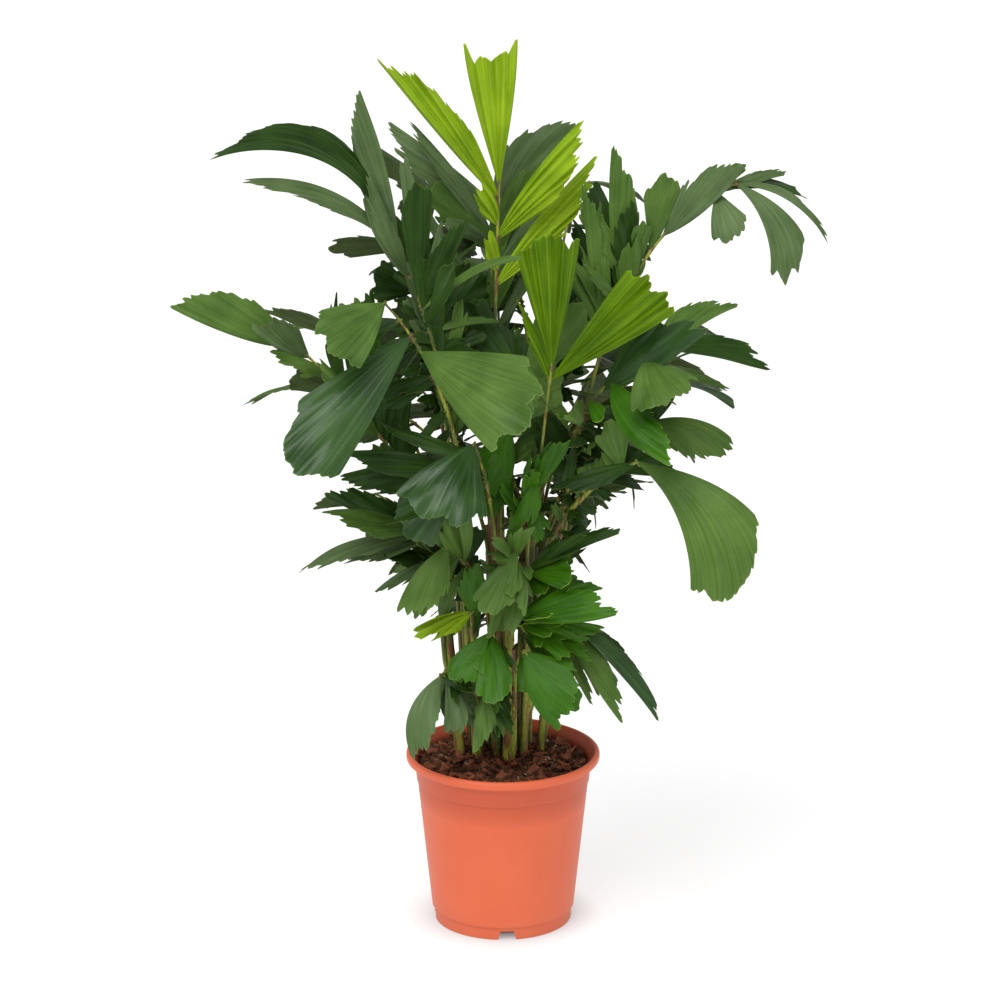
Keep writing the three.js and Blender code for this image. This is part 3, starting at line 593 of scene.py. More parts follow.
def unit(vector):
    return vector / np.linalg.norm(vector)


# %% Plan the canes
CANES = 14
CANE_SIDES = 8
CLUMP_DEPTH = 0.6
CLUMP_BACK = 22
FIRST_CANE_TURN = 205
GOLDEN_ANGLE = 137.5
CANE_HEIGHTS = (430, 625)
CANE_RADII = (4.6, 7.6)
CANE_TAPER = 0.62
CANE_LEAN = 0.55
CANE_STRAY = 8


def plan_canes():
    """A golden-angle disc of feet, leaning outwards as they rise."""
    canes = []
    for i in range(CANES):
        angle = math.radians(FIRST_CANE_TURN + i * GOLDEN_ANGLE)
        reach = CLUMP_RADIUS / MM * math.sqrt((i + 0.5) / CANES)
        x, y = reach * math.cos(angle), reach * math.sin(angle)
        height = mix(*CANE_HEIGHTS, vary(i + 3))
        lean = 1 + CANE_LEAN * (height - GROUND) / (CANE_HEIGHTS[1] - GROUND)
        canes.append({
            "foot": np.array([x, CLUMP_BACK + CLUMP_DEPTH * y, GROUND + GAP]),
            "tip": np.array([x * lean + CANE_STRAY * (vary(i + 57) - 0.5),
                             y * lean + CANE_STRAY * (vary(i + 71) - 0.5), height]),
            "radius": mix(*CANE_RADII, vary(i + 31)),
            "fronds": 0,
        })
    return canes


def cane_share(cane, height):
    return (height - cane["foot"][2]) / (cane["tip"][2] - cane["foot"][2])


def cane_at(cane, height):
    return cane["foot"] + (cane["tip"] - cane["foot"]) * cane_share(cane, height)


def cane_radius(cane, height):
    return cane["radius"] * mix(1, CANE_TAPER, cane_share(cane, height))


# %% The shapes of leaflets
FOOT_HALF_WIDTH = 1.6
CUP = 0.16
BLUNTNESS = 1.5
# peak: where it is widest, as a share of the length; swell: the higher, the later it widens;
# slant: how its end is skewed; round: how far its corners are rounded, or its middle notched below 0
KINDS = {
    "fan": {"peak": 1.35, "swell": 1, "slant": 0.2, "round": 0.18},
    "fan_left": {"peak": 1.35, "swell": 1, "slant": -0.2, "round": 0.18},
    "tail": {"peak": 0.9, "swell": 0.9, "slant": 0.56, "round": 0.02},
    "tail_left": {"peak": 0.9, "swell": 0.9, "slant": -0.56, "round": 0.02},
    "ribbon": {"peak": 0.6, "swell": 0.8, "slant": 0.5, "round": 0.05},
    "split": {"peak": 1.1, "swell": 1.1, "slant": 0, "round": -0.13},
    "wedge": {"peak": 1.3, "swell": 1.1, "slant": 0.08, "round": 0.06},
}


def slant_of(leaf):
    return KINDS[leaf["kind"]]["slant"]


def leaflet_frame(leaflet, foot, tip):
    """An arc from the foot to the tip, and the way across it."""
    reach = np.linalg.norm(tip - foot)
    chord = (tip - foot) / reach
    facing = math.radians(leaflet["facing"])
    normal = leaflet["front"] * math.sin(facing) + UP * math.cos(facing)
    normal = unit(normal - chord * (normal @ chord))
    droop = math.radians(leaflet["droop"])
    return {**leaflet, "foot": foot, "chord": chord, "normal": normal,
            "across": np.cross(chord, normal), "bow": droop,
            "length": reach * droop / (2 * math.sin(droop / 2))}


def end_at(leaf, v):
    """How far along its length the leaflet runs at v, from -1 on one margin to 1 on the other."""
    slant, rounding = slant_of(leaf), KINDS[leaf["kind"]]["round"]
    side = -1 if slant < 0 else 1
    corner = rounding * v * v if rounding > 0 else -rounding * (1 - v * v)
    return 1 - abs(slant) * ((1 - side * v) / 2) ** BLUNTNESS - corner


def half_width(leaf, u):
    shape = KINDS[leaf["kind"]]
    swell = np.sin(math.pi / 2 * np.minimum(1, u / shape["peak"])) ** shape["swell"]
    return mix(FOOT_HALF_WIDTH, leaf["width"] / 2, swell)


# %% The surface of a leaflet
def leaflet_points(leaf, u, v, lift=0.0):
    """Points at u along the leaflet and v across it, raised by lift, and the way out of it there."""
    start, bow = leaf["bow"] / 2, leaf["bow"]
    angle = start - bow * u
    turn = leaf["twist"] * u
    forward = leaf["length"] * (math.sin(start) - np.sin(angle)) / bow
    raised = leaf["length"] * (np.cos(angle) - math.cos(start)) / bow
    angle, turn, forward, raised = (np.asarray(a)[..., None] for a in (angle, turn, forward, raised))
    up = leaf["normal"] * np.cos(angle) - leaf["chord"] * np.sin(angle)
    level = leaf["across"] * np.cos(turn) + up * np.sin(turn)
    out = up * np.cos(turn) - leaf["across"] * np.sin(turn)
    half = half_width(leaf, u)
    sweep = 4 * leaf["sweep"] * leaf["length"] * u * (1 - u)
    aside = np.asarray(half * (v - slant_of(leaf) * u) + sweep)[..., None]
    hang = (lift - CUP * half * v * v)[..., None]
    points = leaf["foot"] + leaf["chord"] * forward + leaf["normal"] * raised + level * aside
    return points + out * hang, out


# %% The plan of the front, measured from the plant
# name, end of the stalk, lift, and a letter for each leaflet's green, then the leaflets:
# kind, share along the stalk, tip x y z, width, facing (0 up, 90 front), droop, and some a sweep
FRONT_FRONDS = [
    ("spear", (-5, 40, 970), 0.5, "yyyyyy", [
        ("split", 1, -17, 60, 1156, 70, 84, 8, 0),
        ("tail_left", 0.96, -156, 10, 1152, 54, 70, 16, 0.02),
        ("tail_left", 0.84, 114, -10, 1060, 62, 80, 14, 0),
        ("tail_left", 0.7, 132, 40, 1006, 58, 80, 12, 0),
        ("ribbon", 0.88, -42, 20, 985, 32, 80, 10),
        ("ribbon", 0.74, -24, 10, 925, 26, 80, 6),
    ]),
    ("young", (60, -110, 772), 0.45, "bbb", [
        ("wedge", 1, 56, -80, 942, 92, 86, 6, 0),
        ("wedge", 0.95, 200, -125, 888, 92, 70, 10, 0),
        ("ribbon", 0.95, 5, -100, 866, 18, 80, 12),
    ]),
    ("upper_left", (-140, 0, 910), 0.7, "dssd", [
        ("tail_left", 1, -374, -40, 1024, 62, 42, 78, 0.19),
        ("tail", 0.97, -334, -60, 990, 40, 44, 50, 0.08),
        ("tail", 0.94, -192, 30, 1096, 54, 76, 14, 0),
        ("fan", 0.86, -172, 30, 965, 46, 72, 16),
    ]),
    ("upright_left", (-105, -60, 848), 0.6, "ddmdm", [
        ("fan", 1, -105, -50, 1008, 56, 84, 8, 0),
        ("tail", 0.97, -45, -70, 968, 38, 70, 14),
        ("ribbon", 0.95, 35, -120, 922, 28, 25, 34),
        ("tail", 0.9, -30, -20, 888, 36, 70, 20),
        ("tail", 0.8, -62, -30, 930, 40, 72, 14),
    ]),
    ("front_left", (-145, -150, 865), 0.6, "mgmd", [
        ("fan_left", 1, -220, -232, 820, 126, 66, 30, 0),
        ("fan_left", 0.82, -266, -255, 668, 136, 60, 34, 0),
        ("fan", 0.74, 48, -280, 745, 170, 64, 26, 0),
        ("tail", 0.9, -215, -130, 800, 50, 50, 24),
    ]),
    ("far_left", (-255, -60, 785), 0.4, "msmddm", [
        ("tail_left", 1, -412, -85, 862, 74, 56, 22, 0),
        ("tail_left", 0.96, -306, -100, 835, 58, 60, 16, 0),
        ("tail", 0.9, -295, -100, 785, 50, 40, 34),
        ("ribbon", 0.8, -210, -60, 865, 22, 50, 22),
        ("tail", 0.7, -178, -30, 862, 60, 60, 18),
        ("tail", 0.62, -235, -90, 775, 54, 50, 26),
    ]),
    ("glossy", (-36, -150, 686), 0.5, "gdd", [
        ("fan", 1, -96, -240, 606, 162, 66, 30, 0),
        ("ribbon", 0.9, -165, -100, 700, 24, 40, 30),
        ("tail", 0.8, -213, -90, 615, 60, 50, 34),
    ]),
    ("right_arch", (290, -20, 985), 0.8, "sssdsmmsdmm", [
        ("fan", 1, 352, -55, 850, 74, 60, 44, -0.16),
        ("fan", 0.93, 284, -80, 920, 72, 66, 26, 0),
        ("ribbon", 1, 416, 0, 898, 22, 24, 50, -0.12),
        ("ribbon", 0.97, 386, 40, 956, 40, 24, 36, -0.06),
        ("tail", 0.94, 362, 40, 992, 26, 40, 20),
        ("tail", 0.86, 305, 20, 1008, 44, 50, 20, -0.04),
        ("fan", 0.66, 206, -20, 1006, 62, 66, 14, 0),
        ("tail", 0.72, 294, -40, 1026, 62, 60, 16, 0),
        ("tail", 0.56, 150, -10, 968, 50, 72, 12, 0),
        ("tail_left", 0.52, 146, 15, 1034, 54, 76, 10, 0),
        ("tail", 0.56, 96, 30, 968, 46, 76, 16),
    ]),
    ("right_mid", (194, -90, 792), 0.55, "mdmmgf", [
        ("fan", 0.95, 203, -190, 740, 130, 60, 30, 0),
        ("tail", 1, 343, -40, 757, 50, 36, 28, -0.04),
        ("tail", 0.97, 294, 20, 828, 52, 40, 30, -0.04),
        ("ribbon", 0.85, 297, 20, 706, 26, 30, 26),
        ("tail", 0.75, 214, -170, 848, 86, 52, 22, 0),
        ("tail", 0.8, 220, -215, 682, 66, 64, 30, 0.08),
    ]),
    ("right_low", (185, -30, 680), 0.5, "mdd", [
        ("tail_left", 1, 294, -60, 638, 78, 54, 36, -0.04),
        ("fan", 0.86, 150, -70, 636, 70, 60, 26),
        ("tail", 0.9, 215, 50, 716, 54, 50, 20),
    ]),
    ("right_droop", (166, -130, 657), 0.55, "mddmd", [
        ("fan", 1, 274, -205, 482, 148, 66, 56, -0.17),
        ("tail", 0.98, 52, -150, 618, 42, 50, 30),
        ("tail", 0.9, 226, -90, 636, 44, 60, 30),
        ("fan", 0.92, 132, -110, 712, 66, 68, 12),
        ("tail", 0.82, 172, -60, 608, 34, 50, 30),
    ]),
    ("left_low", (-110, -60, 546), 0.5, "mssdd", [
        ("tail", 1, -230, -95, 578, 66, 36, 24, 0),
        ("tail", 0.95, -268, -60, 482, 46, 34, 36, 0.04),
        ("ribbon", 0.9, -225, -20, 484, 34, 34, 30),
        ("tail_left", 0.84, -224, 0, 598, 54, 46, 24, 0),
        ("tail", 0.75, -150, 0, 493, 34, 44, 24),
    ]),
    ("left_front", (-70, -100, 538), 0.5, "mmd", [
        ("tail", 1, -124, -135, 444, 70, 66, 24, 0),
        ("tail", 0.9, -100, -120, 618, 44, 70, 14),
        ("fan", 0.8, -40, -60, 560, 56, 66, 20),
    ]),
    ("right_front", (30, -105, 508), 0.5, "df", [
        ("tail", 1, 152, -135, 580, 34, 44, 24, 0),
        ("fan", 0.97, 100, -135, 514, 60, 50, 20),
    ]),
    ("front_mid", (18, -125, 542), 0.5, "mm", [
        ("fan", 1, -28, -175, 466, 70, 60, 20),
        ("tail", 0.9, 60, -180, 597, 36, 70, 12),
    ]),
    ("low_right", (18, -120, 450), 0.5, "ff", [
        ("tail", 1, 147, -165, 486, 66, 52, 26, 0),
        ("ribbon", 0.97, 134, -80, 485, 28, 40, 20),
    ]),
    ("centre", (30, -70, 768), 0.5, "mdmdf", [
        ("tail", 1, 84, -135, 700, 54, 60, 44),
        ("fan", 0.92, -62, -20, 840, 96, 76, 12),
        ("fan", 0.86, 98, -30, 850, 96, 76, 12),
        ("fan_left", 0.78, 110, -90, 638, 90, 56, 30),
        ("fan", 0.7, -20, -70, 588, 90, 60, 24),
    ]),
    ("centre_right", (102, -80, 706), 0.5, "dmmdd", [
        ("tail", 1, 168, -130, 690, 44, 56, 30),
        ("tail", 0.9, 158, -60, 748, 42, 60, 20),
        ("tail_left", 0.92, 76, -155, 732, 48, 64, 44),
        ("fan", 0.85, 112, -40, 795, 86, 74, 14),
        ("fan", 0.75, 44, -60, 690, 84, 70, 20),
    ]),
    ("bright_small", (42, -95, 622), 0.5, "ff", [
        ("tail", 1, 8, -130, 558, 42, 70, 14),
        ("tail", 0.95, 80, -110, 688, 40, 76, 10),
    ]),
    ("low_bright", (-40, -80, 444), 0.5, "yf", [
        ("tail", 1, -118, -115, 410, 52, 60, 22),
        ("tail", 0.97, -44, -90, 518, 46, 76, 12),
    ]),
    ("low_centre", (-18, -105, 424), 0.5, "ff", [
        ("fan", 1, -60, -135, 364, 68, 64, 18),
        ("fan", 0.94, 12, -160, 344, 70, 66, 16),
    ]),
    ("low_fan", (28, -112, 402), 0.5, "f", [
        ("tail", 1, 90, -160, 322, 102, 66, 22, 0),
    ]),
    ("low_right_arch", (92, -60, 424), 0.6, "dgm", [
        ("ribbon", 1, 168, -40, 370, 20, 30, 36),
        ("ribbon", 0.98, 208, -75, 290, 26, 56, 34, -0.04),
        ("tail", 0.86, 164, -95, 300, 46, 60, 24, 0),
    ]),
    ("low_left", (-80, -98, 364), 0.5, "sd", [
        ("tail", 1, -100, -150, 260, 60, 66, 40, 0.12),
        ("ribbon", 0.97, -30, -120, 350, 24, 40, 16),
    ]),
    ("lowest", (-22, -88, 338), 0.5, "md", [
        ("tail", 1, -30, -125, 266, 40, 70, 18),
        ("tail", 0.9, 20, -112, 292, 28, 60, 14),
    ]),
    ("behind_spear", (-10, 110, 925), 0.5, "smsms", [
        ("tail", 1, -157, 120, 1030, 62, 60, 30),
        ("fan", 0.86, -98, 90, 965, 86, 70, 16),
        ("tail", 0.95, 102, 140, 1040, 72, 60, 34, -0.12),
        ("tail", 0.81, 48, 115, 995, 52, 70, 14),
        ("ribbon", 0.9, -132, 100, 1046, 24, 60, 24),
    ]),
    ("dark_right", (140, 50, 900), 0.5, "dddd", [
        ("tail", 1, 105, 80, 968, 50, 70, 14),
        ("fan", 0.88, 108, 10, 842, 64, 74, 20),
        ("fan", 0.7, 60, 10, 860, 84, 70, 16),
        ("fan", 0.6, 150, 20, 800, 80, 66, 22),
    ]),
    ("dark_left", (-115, 50, 828), 0.5, "ddgd", [
        ("fan", 1, -172, 40, 853, 80, 66, 20),
        ("fan", 0.9, -20, 70, 862, 88, 74, 14),
        ("fan", 0.8, -48, 10, 812, 88, 70, 18),
        ("tail", 0.95, -90, 100, 930, 54, 60, 20),
    ]),
]

# %% The plan of the back and sides, which grow by rule
# name, heading in degrees, hub radius, hub height, number of leaflets, leaflet length
RULE_FRONDS = [
    ("back_high_right", 62, 205, 940, 6, 165),
    ("back_high_left", 114, 205, 945, 6, 170),
    ("back_arch", 92, 260, 845, 6, 165),
    ("back_centre", 84, 110, 860, 6, 150),
    ("back_right", 38, 255, 775, 6, 155),
    ("back_left", 146, 262, 765, 5, 155),
    ("side_right", 8, 215, 745, 5, 140),
    ("side_left", 172, 215, 715, 5, 145),
    ("back_mid_right", 58, 235, 690, 6, 150),
    ("back_mid_left", 122, 240, 675, 6, 150),
    ("back_low", 92, 200, 575, 5, 140),
    ("back_low_right", 44, 165, 600, 4, 125),
    ("back_low_left", 148, 195, 545, 4, 130),
    ("back_foot_right", 76, 120, 430, 3, 105),
    ("back_foot_left", 106, 128, 425, 3, 105),
    ("side_low_right", 20, 190, 660, 3, 105),
]


# %% Both plans as one list
RULE_LIFT = 0.62


def plan_fronds():
    planned = []
    for name, hub, lift, greens, rows in FRONT_FRONDS:
        leaflets = [{
            "kind": kind, "share": share, "tip": np.array([x, y, z], float), "width": width,
            "facing": facing, "droop": droop, "front": FRONT, "green": green, "marked": marked,
        } for (kind, share, x, y, z, width, facing, droop, *marked), green in zip(rows, greens)]
        planned.append({"name": "frond_" + name, "hub": np.array(hub, float), "lift": lift,
                        "leaflets": leaflets})
    for i, (name, degrees, radius, height, count, size) in enumerate(RULE_FRONDS):
        heading = math.radians(degrees)
        out = np.array([math.cos(heading), math.sin(heading), 0.0])
        rule = {"heading": heading, "out": out, "count": count, "size": size, "seed": 100 * (i + 1)}
        planned.append({"name": "frond_" + name, "hub": out * radius + UP * height,
                        "lift": RULE_LIFT, "rule": rule})
    return planned


# %% The curve of a stalk
STALK_FOOT = 3.3
STALK_TIP = 1.9
LOWEST_STALK = 25
STALK_SHARE = 0.42
BELOW_CANE_TIP = 14


def on_curve(frond, share):
    """The point of a stalk's curve at a share of it."""
    foot, bend, hub = frond["curve"]
    return (1 - share) ** 2 * foot + 2 * (1 - share) * share * bend + share ** 2 * hub


def stalk_from(cane, face, frond):
    """The curve of a stalk, from the face of a cane that it leaves, to its hub."""
    wanted = GROUND + LOWEST_STALK + STALK_SHARE * (frond["hub"][2] - GROUND)
    height = min(wanted, cane["tip"][2] - BELOW_CANE_TIP)
    angle = face * 2 * math.pi / CANE_SIDES
    outward = np.array([math.cos(angle), math.sin(angle), 0.0])
    flat = cane_radius(cane, height) * math.cos(math.pi / CANE_SIDES)
    start = cane_at(cane, height) + outward * (flat + GAP + STALK_FOOT)
    span = np.linalg.norm(frond["hub"] - start)
    bend = start + unit(cane["tip"] - cane["foot"]) * frond["lift"] * span
    length = 0.5 * (np.linalg.norm(bend - start) + np.linalg.norm(frond["hub"] - bend) + span)
    return {"cane": cane, "curve": (start, bend, frond["hub"]), "reach": length}


# %% The leaflets of a frond that grows by rule
RULE_KINDS = ["fan", "tail", "tail_left", "fan", "tail"]
RULE_GREENS = "dmgdm"
RULE_SPREAD = (34, 62)
RULE_RISE = (-38, 34)
RULE_LENGTHS = (0.78, 1.12)
RULE_WIDTHS = (0.34, 0.62)
RULE_FACING = (28, 62)
RULE_DROOP = (16, 46)


def one_of(choices, share):
    return choices[math.floor(share * len(choices))]


def rule_leaflets(frond):
    """One at the end, the rest in turn to the left and right, shorter and wider spread."""
    rule, leaflets = frond["rule"], []
    count, seed, heading = rule["count"], rule["seed"], rule["heading"]
    for k in range(count):
        share = 1 - 0.4 * k / (count - 1)
        spread = mix(*RULE_SPREAD, k / count) if k else 0
        swing = (1 if k % 2 else -1) * math.radians(spread + 10 * vary(seed + k))
        rise = math.radians(mix(*RULE_RISE, vary(seed + k + 20)) - (0 if k else 12))
        length = rule["size"] * mix(*RULE_LENGTHS, vary(seed + k + 40)) * mix(1, 0.8, k / count)
        aim = np.array([math.cos(heading + swing) * math.cos(rise),
                        math.sin(heading + swing) * math.cos(rise), math.sin(rise)])
        leaflets.append({
            "kind": one_of(RULE_KINDS, vary(seed + k + 60)), "share": share,
            "tip": on_curve(frond, share) + aim * length,
            "width": length * mix(*RULE_WIDTHS, vary(seed + k + 80)),
            "facing": mix(*RULE_FACING, vary(seed + k + 95)),
            "droop": mix(*RULE_DROOP, vary(seed + k + 110)), "front": rule["out"],
            "green": one_of(RULE_GREENS, vary(seed + k + 130)), "marked": [],
        })
    return leaflets


# %% The clearing rule
LIMB_SAMPLE = 8
LEAFLET_SAMPLE = 12
LEAFLET_SAMPLE_RADIUS = 2.5


class Space:
    """Sample points of one limb or leaflet, which others keep clear of."""

    def __init__(self, owner, points, radii):
        self.owner = owner
        self.points = points
        self.radii = np.broadcast_to(radii, len(points))
        self.centre = points.mean(axis=0)
        self.reach = (np.linalg.norm(points - self.centre, axis=1) + self.radii).max()

    def is_clear(self, taken, margin):
        """True where every sample keeps the margin to every space but those of its own owner."""
        for other in taken:
            apart = np.linalg.norm(self.centre - other.centre)
            if other.owner is self.owner or apart > self.reach + other.reach + margin:
                continue
            gaps = np.linalg.norm(self.points[:, None] - other.points[None], axis=2)
            if (gaps <= self.radii[:, None] + other.radii[None] + margin).any():
                return False
        return True


def limb_space(owner, at, radius_at, length):
    """A limb as samples no more than LIMB_SAMPLE apart."""
    shares = np.linspace(0, 1, math.ceil(length / LIMB_SAMPLE) + 1)
    return Space(owner, np.array([at(t) for t in shares]), np.array([radius_at(t) for t in shares]))


def leaflet_space(owner, leaf):
    """A leaflet as rows of samples over its surface, from just past its foot to its end."""
    rows, columns = (math.ceil(leaf[way] / LEAFLET_SAMPLE) for way in ("length", "width"))
    v = np.linspace(-1, 1, columns + 1)[None, :]
    u = np.arange(1, rows + 1)[:, None] / rows * end_at(leaf, v)
    return Space(owner, leaflet_points(leaf, u, v)[0].reshape(-1, 3), LEAFLET_SAMPLE_RADIUS)


# %% Choose a cane for each stalk
LIMB_MARGIN = 1
LEAST_FACING = 0.4
HUB_PULL = 0.3
REACH_HEIGHT = 150
CROWDED_COST = 16
TURNED_COST = 30
SHORT_COST = 0.5


def choose_stalk(frond, canes, taken):
    """The nearest cane with a free face gives the stalk its foot."""
    hub, choices = frond["hub"], []
    for cane in canes:
        tip = cane["tip"]
        for face in range(CANE_SIDES):
            turn = math.cos(face * 2 * math.pi / CANE_SIDES - math.atan2(hub[1] - tip[1], hub[0] - tip[0]))
            if turn < LEAST_FACING:
                continue
            aside = math.hypot(hub[0] * HUB_PULL - tip[0], hub[1] * HUB_PULL - tip[1])
            short = max(0, hub[2] * STALK_SHARE + REACH_HEIGHT - tip[2])
            cost = aside + CROWDED_COST * cane["fronds"] + TURNED_COST * (1 - turn) + short * SHORT_COST
            choices.append((cost, len(choices), cane, face))
    for _, _, cane, face in sorted(choices, key=lambda choice: choice[:2]):
        stalk = stalk_from(cane, face, frond)
        frond.update(stalk)
        space = limb_space(cane, lambda t: on_curve(frond, t),
                           lambda t: mix(STALK_FOOT, STALK_TIP, t) * math.sqrt(2), stalk["reach"])
        if space.is_clear(taken, LIMB_MARGIN):
            space.owner = frond
            taken.append(space)
            cane["fronds"] += 1
            return True
    return False


# %% Hang the leaflets and grow the palm
LEAFLET_MARGIN = 8
SWINGS = (0, 10, -10, 20, -20, 32, -32)
LOWEST_LEAFLET = 240
TWIST = 30
SWEEP = 0.12


def turned_about_up(vector, degrees):
    cos, sin = math.cos(math.radians(degrees)), math.sin(math.radians(degrees))
    return np.array([vector[0] * cos - vector[1] * sin, vector[0] * sin + vector[1] * cos, vector[2]])


def try_leaflet(frond, leaflet, taken, margin, swings):
    """Puts a leaflet on its frond at the first swing that is clear. Says whether it found one."""
    start = on_curve(frond, leaflet["share"])
    for swing in swings:
        leaf = leaflet_frame(leaflet, start, start + turned_about_up(leaflet["tip"] - start, swing))
        space = leaflet_space(frond, leaf)
        if space.points[:, 2].min() >= LOWEST_LEAFLET and space.is_clear(taken, margin):
            taken.append(space)
            frond["blades"].append(leaf)
            return True
    return False


def grow_palm():
    """Canes, stalks, then leaflets: the widest of the measured ones first, then those by rule."""
    canes = plan_canes()
    taken = [limb_space(cane, lambda t, c=cane: c["foot"] + (c["tip"] - c["foot"]) * t,
                        lambda t, c=cane: c["radius"] * mix(1, CANE_TAPER, t),
                        np.linalg.norm(cane["tip"] - cane["foot"])) for cane in canes]
    fronds = [frond for frond in plan_fronds() if choose_stalk(frond, canes, taken)]
    waiting = []
    for frond in fronds:
        frond["blades"] = []
        for leaflet in frond.get("leaflets") or rule_leaflets(frond):
            leaflet["twist"] = math.radians(TWIST) * (vary(len(waiting) + 0.5) - 0.5)
            sweep = SWEEP * (vary(len(waiting) + 0.25) - 0.5)
            leaflet["sweep"] = leaflet["marked"][0] if leaflet["marked"] else sweep
            rank = -leaflet["width"] if "leaflets" in frond else len(waiting)
            waiting.append((rank, frond, leaflet))
    waiting.sort(key=lambda item: item[0])
    left_out = [(frond, leaflet) for _, frond, leaflet in waiting
                if not try_leaflet(frond, leaflet, taken, LEAFLET_MARGIN, SWINGS)]
    return canes, fronds, taken, left_out


def leaflet_count():
    return sum(len(frond["blades"]) for frond in fronds)


canes, fronds, taken, left_out = grow_palm()
print(len(fronds), "fronds carry", leaflet_count(), "leaflets,", len(left_out), "had no room")


# %% Compare each frond with its solid in the frame
def solid_box(frond):
    """The corners of a frond's solid, in the millimetres of the plan."""
    return [np.array(corner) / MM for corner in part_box(frond["name"])]


worst = 0.0
for frond in fronds:
    low, high = solid_box(frond)
    spread = np.concatenate([leaflet_space(frond, leaf).points for leaf in frond["blades"]] +
                            [np.array([on_curve(frond, t) for t in np.linspace(0, 1, 20)])])
    worst = max(worst, np.abs(spread.min(axis=0) - low).max(), np.abs(spread.max(axis=0) - high).max())
print("the fronds' sample points reach their solids' boxes to within", round(worst, 1), "mm")

# %% [markdown]
# A living crown is fuller than its solids. The same rule goes on with a smaller margin: first the
# leaflets that had no room, then smaller ones beside those that are there, each from its own seed.
# The smaller ones start and end near the core, never beside the young fans that stand free, and they
# keep to the box of their own frond's solid, so the palm keeps its outline.

# %% Fill the crown with finer leaflets
FINE_MARGIN = 1.2
FINE_SWINGS = (0, 12, -12, 25, -25, 40, -40)
BOX_MARGIN = 6.0
CORE = 190.0
TIP_CORE = 195.0
INNERMOST_SHARE = 0.42
NARROWEST = 20
SIBLING_KINDS = ["tail", "fan", "tail_left", "tail", "fan_left"]


def sibling(leaf, number):
    """A smaller leaflet beside one that is there."""
    seed = 1000 + 17 * number
    side = 1 if vary(seed) > 0.5 else -1
    reach = turned_about_up(leaf["tip"] - leaf["foot"], side * mix(24, 70, vary(seed + 1)))
    reach[2] += mix(-0.5, 0.35, vary(seed + 2)) * np.linalg.norm(reach)
    shrink = mix(0.6, 1.0, vary(seed + 3))
    return {
        **leaf, "kind": one_of(SIBLING_KINDS, vary(seed + 4)), "reach": reach * shrink,
        "share": max(INNERMOST_SHARE, leaf["share"] - mix(0.02, 0.2, vary(seed + 5))),
        "width": max(NARROWEST, leaf["width"] * shrink * mix(0.6, 1.0, vary(seed + 6))),
        "facing": mix(30, 74, vary(seed + 7)), "droop": mix(14, 44, vary(seed + 8)),
        "twist": math.radians(TWIST) * (vary(seed + 9) - 0.5), "sweep": SWEEP * (vary(seed + 10) - 0.5),
        "inner": True,
    }


def stays_inside(frond, leaf):
    low, high = solid_box(frond)
    points = leaflet_space(frond, leaf).points
    return (points > low - BOX_MARGIN).all() and (points < high + BOX_MARGIN).all()


def fill_crown(rounds):
    """Tries the leaflets that had no room, then siblings that have to be clear and inside."""
    for frond, leaflet in left_out:
        try_leaflet(frond, leaflet, taken, FINE_MARGIN, FINE_SWINGS)
    number = 0
    for _ in range(rounds):
        for frond in fronds:
            for leaf in list(frond["blades"]):
                number += 1
                if leaf["green"] in "by" or math.hypot(*leaf["foot"][:2]) > CORE:
                    continue
                young = sibling(leaf, number)
                young["tip"] = on_curve(frond, young["share"]) + young["reach"]
                strays = math.hypot(*young["tip"][:2]) > TIP_CORE
                if strays or not try_leaflet(frond, young, taken, FINE_MARGIN, FINE_SWINGS):
                    continue
                if not stays_inside(frond, frond["blades"][-1]):
                    frond["blades"].pop()
                    taken.pop()


for frond in fronds:
    for leaf in frond["blades"]:
        leaf["tip"] = leaf["foot"] + leaf["chord"] * np.linalg.norm(leaf["tip"] - leaf["foot"])
fill_crown(rounds=4)
print("the full crown has", leaflet_count(), "leaflets")

# %% [markdown]
# Canes, stalks, sheaths and joints are all limbs that follow a path. A spine of edges carries how
# thick the limb is at each point, and one Geometry Nodes tree gives it its skin: it sweeps a ring
# along the spine, lifts the scars that old leaves leave at even distances, and roughens it with
# fibre. One mesh holds the spines of a whole piece, so one run of the tree skins all of its limbs.


# %% The tree that skins a limb
def limb_tree():
    kit, size = begin_tree("limb skin", {
        "Sides": 12, "Scar spacing": 0.05, "Scar height": 0.0006, "Relief": 0.0003,
        "Relief scale": 300.0, "Material": None,
    })
    spine = kit.node("GeometryNodeMeshToCurve", None, {"Mesh": size["Geometry"]})
    thick, along = (kit.node("GeometryNodeInputNamedAttribute", {"data_type": "FLOAT"}, {"Name": name})
                    for name in ("thick", "along"))
    section = kit.node("GeometryNodeCurvePrimitiveCircle", None, {
        "Resolution": size["Sides"], "Radius": 1.0})
    skin = kit.node("GeometryNodeCurveToMesh", None, {
        "Curve": spine, "Profile Curve": section, "Scale": thick, "Fill Caps": True})
    scar = (along / size["Scar spacing"]).zigzag() ** 14 * size["Scar height"]
    place = kit.stretched(kit.node("GeometryNodeInputPosition"), 1.0, 1.0, 0.12)
    fibre = (kit.noise(place, size["Relief scale"], 3.0) - 0.5) * size["Relief"]
    push = kit.vector("SCALE", kit.node("GeometryNodeInputNormal"), scar + fibre)
    rough = kit.node("GeometryNodeSetPosition", None, {"Geometry": skin, "Offset": push})
    smooth = kit.node("GeometryNodeSetShadeSmooth", None, {"Geometry": rough, "Shade Smooth": True})
    return end_tree(kit, smooth, size["Material"])


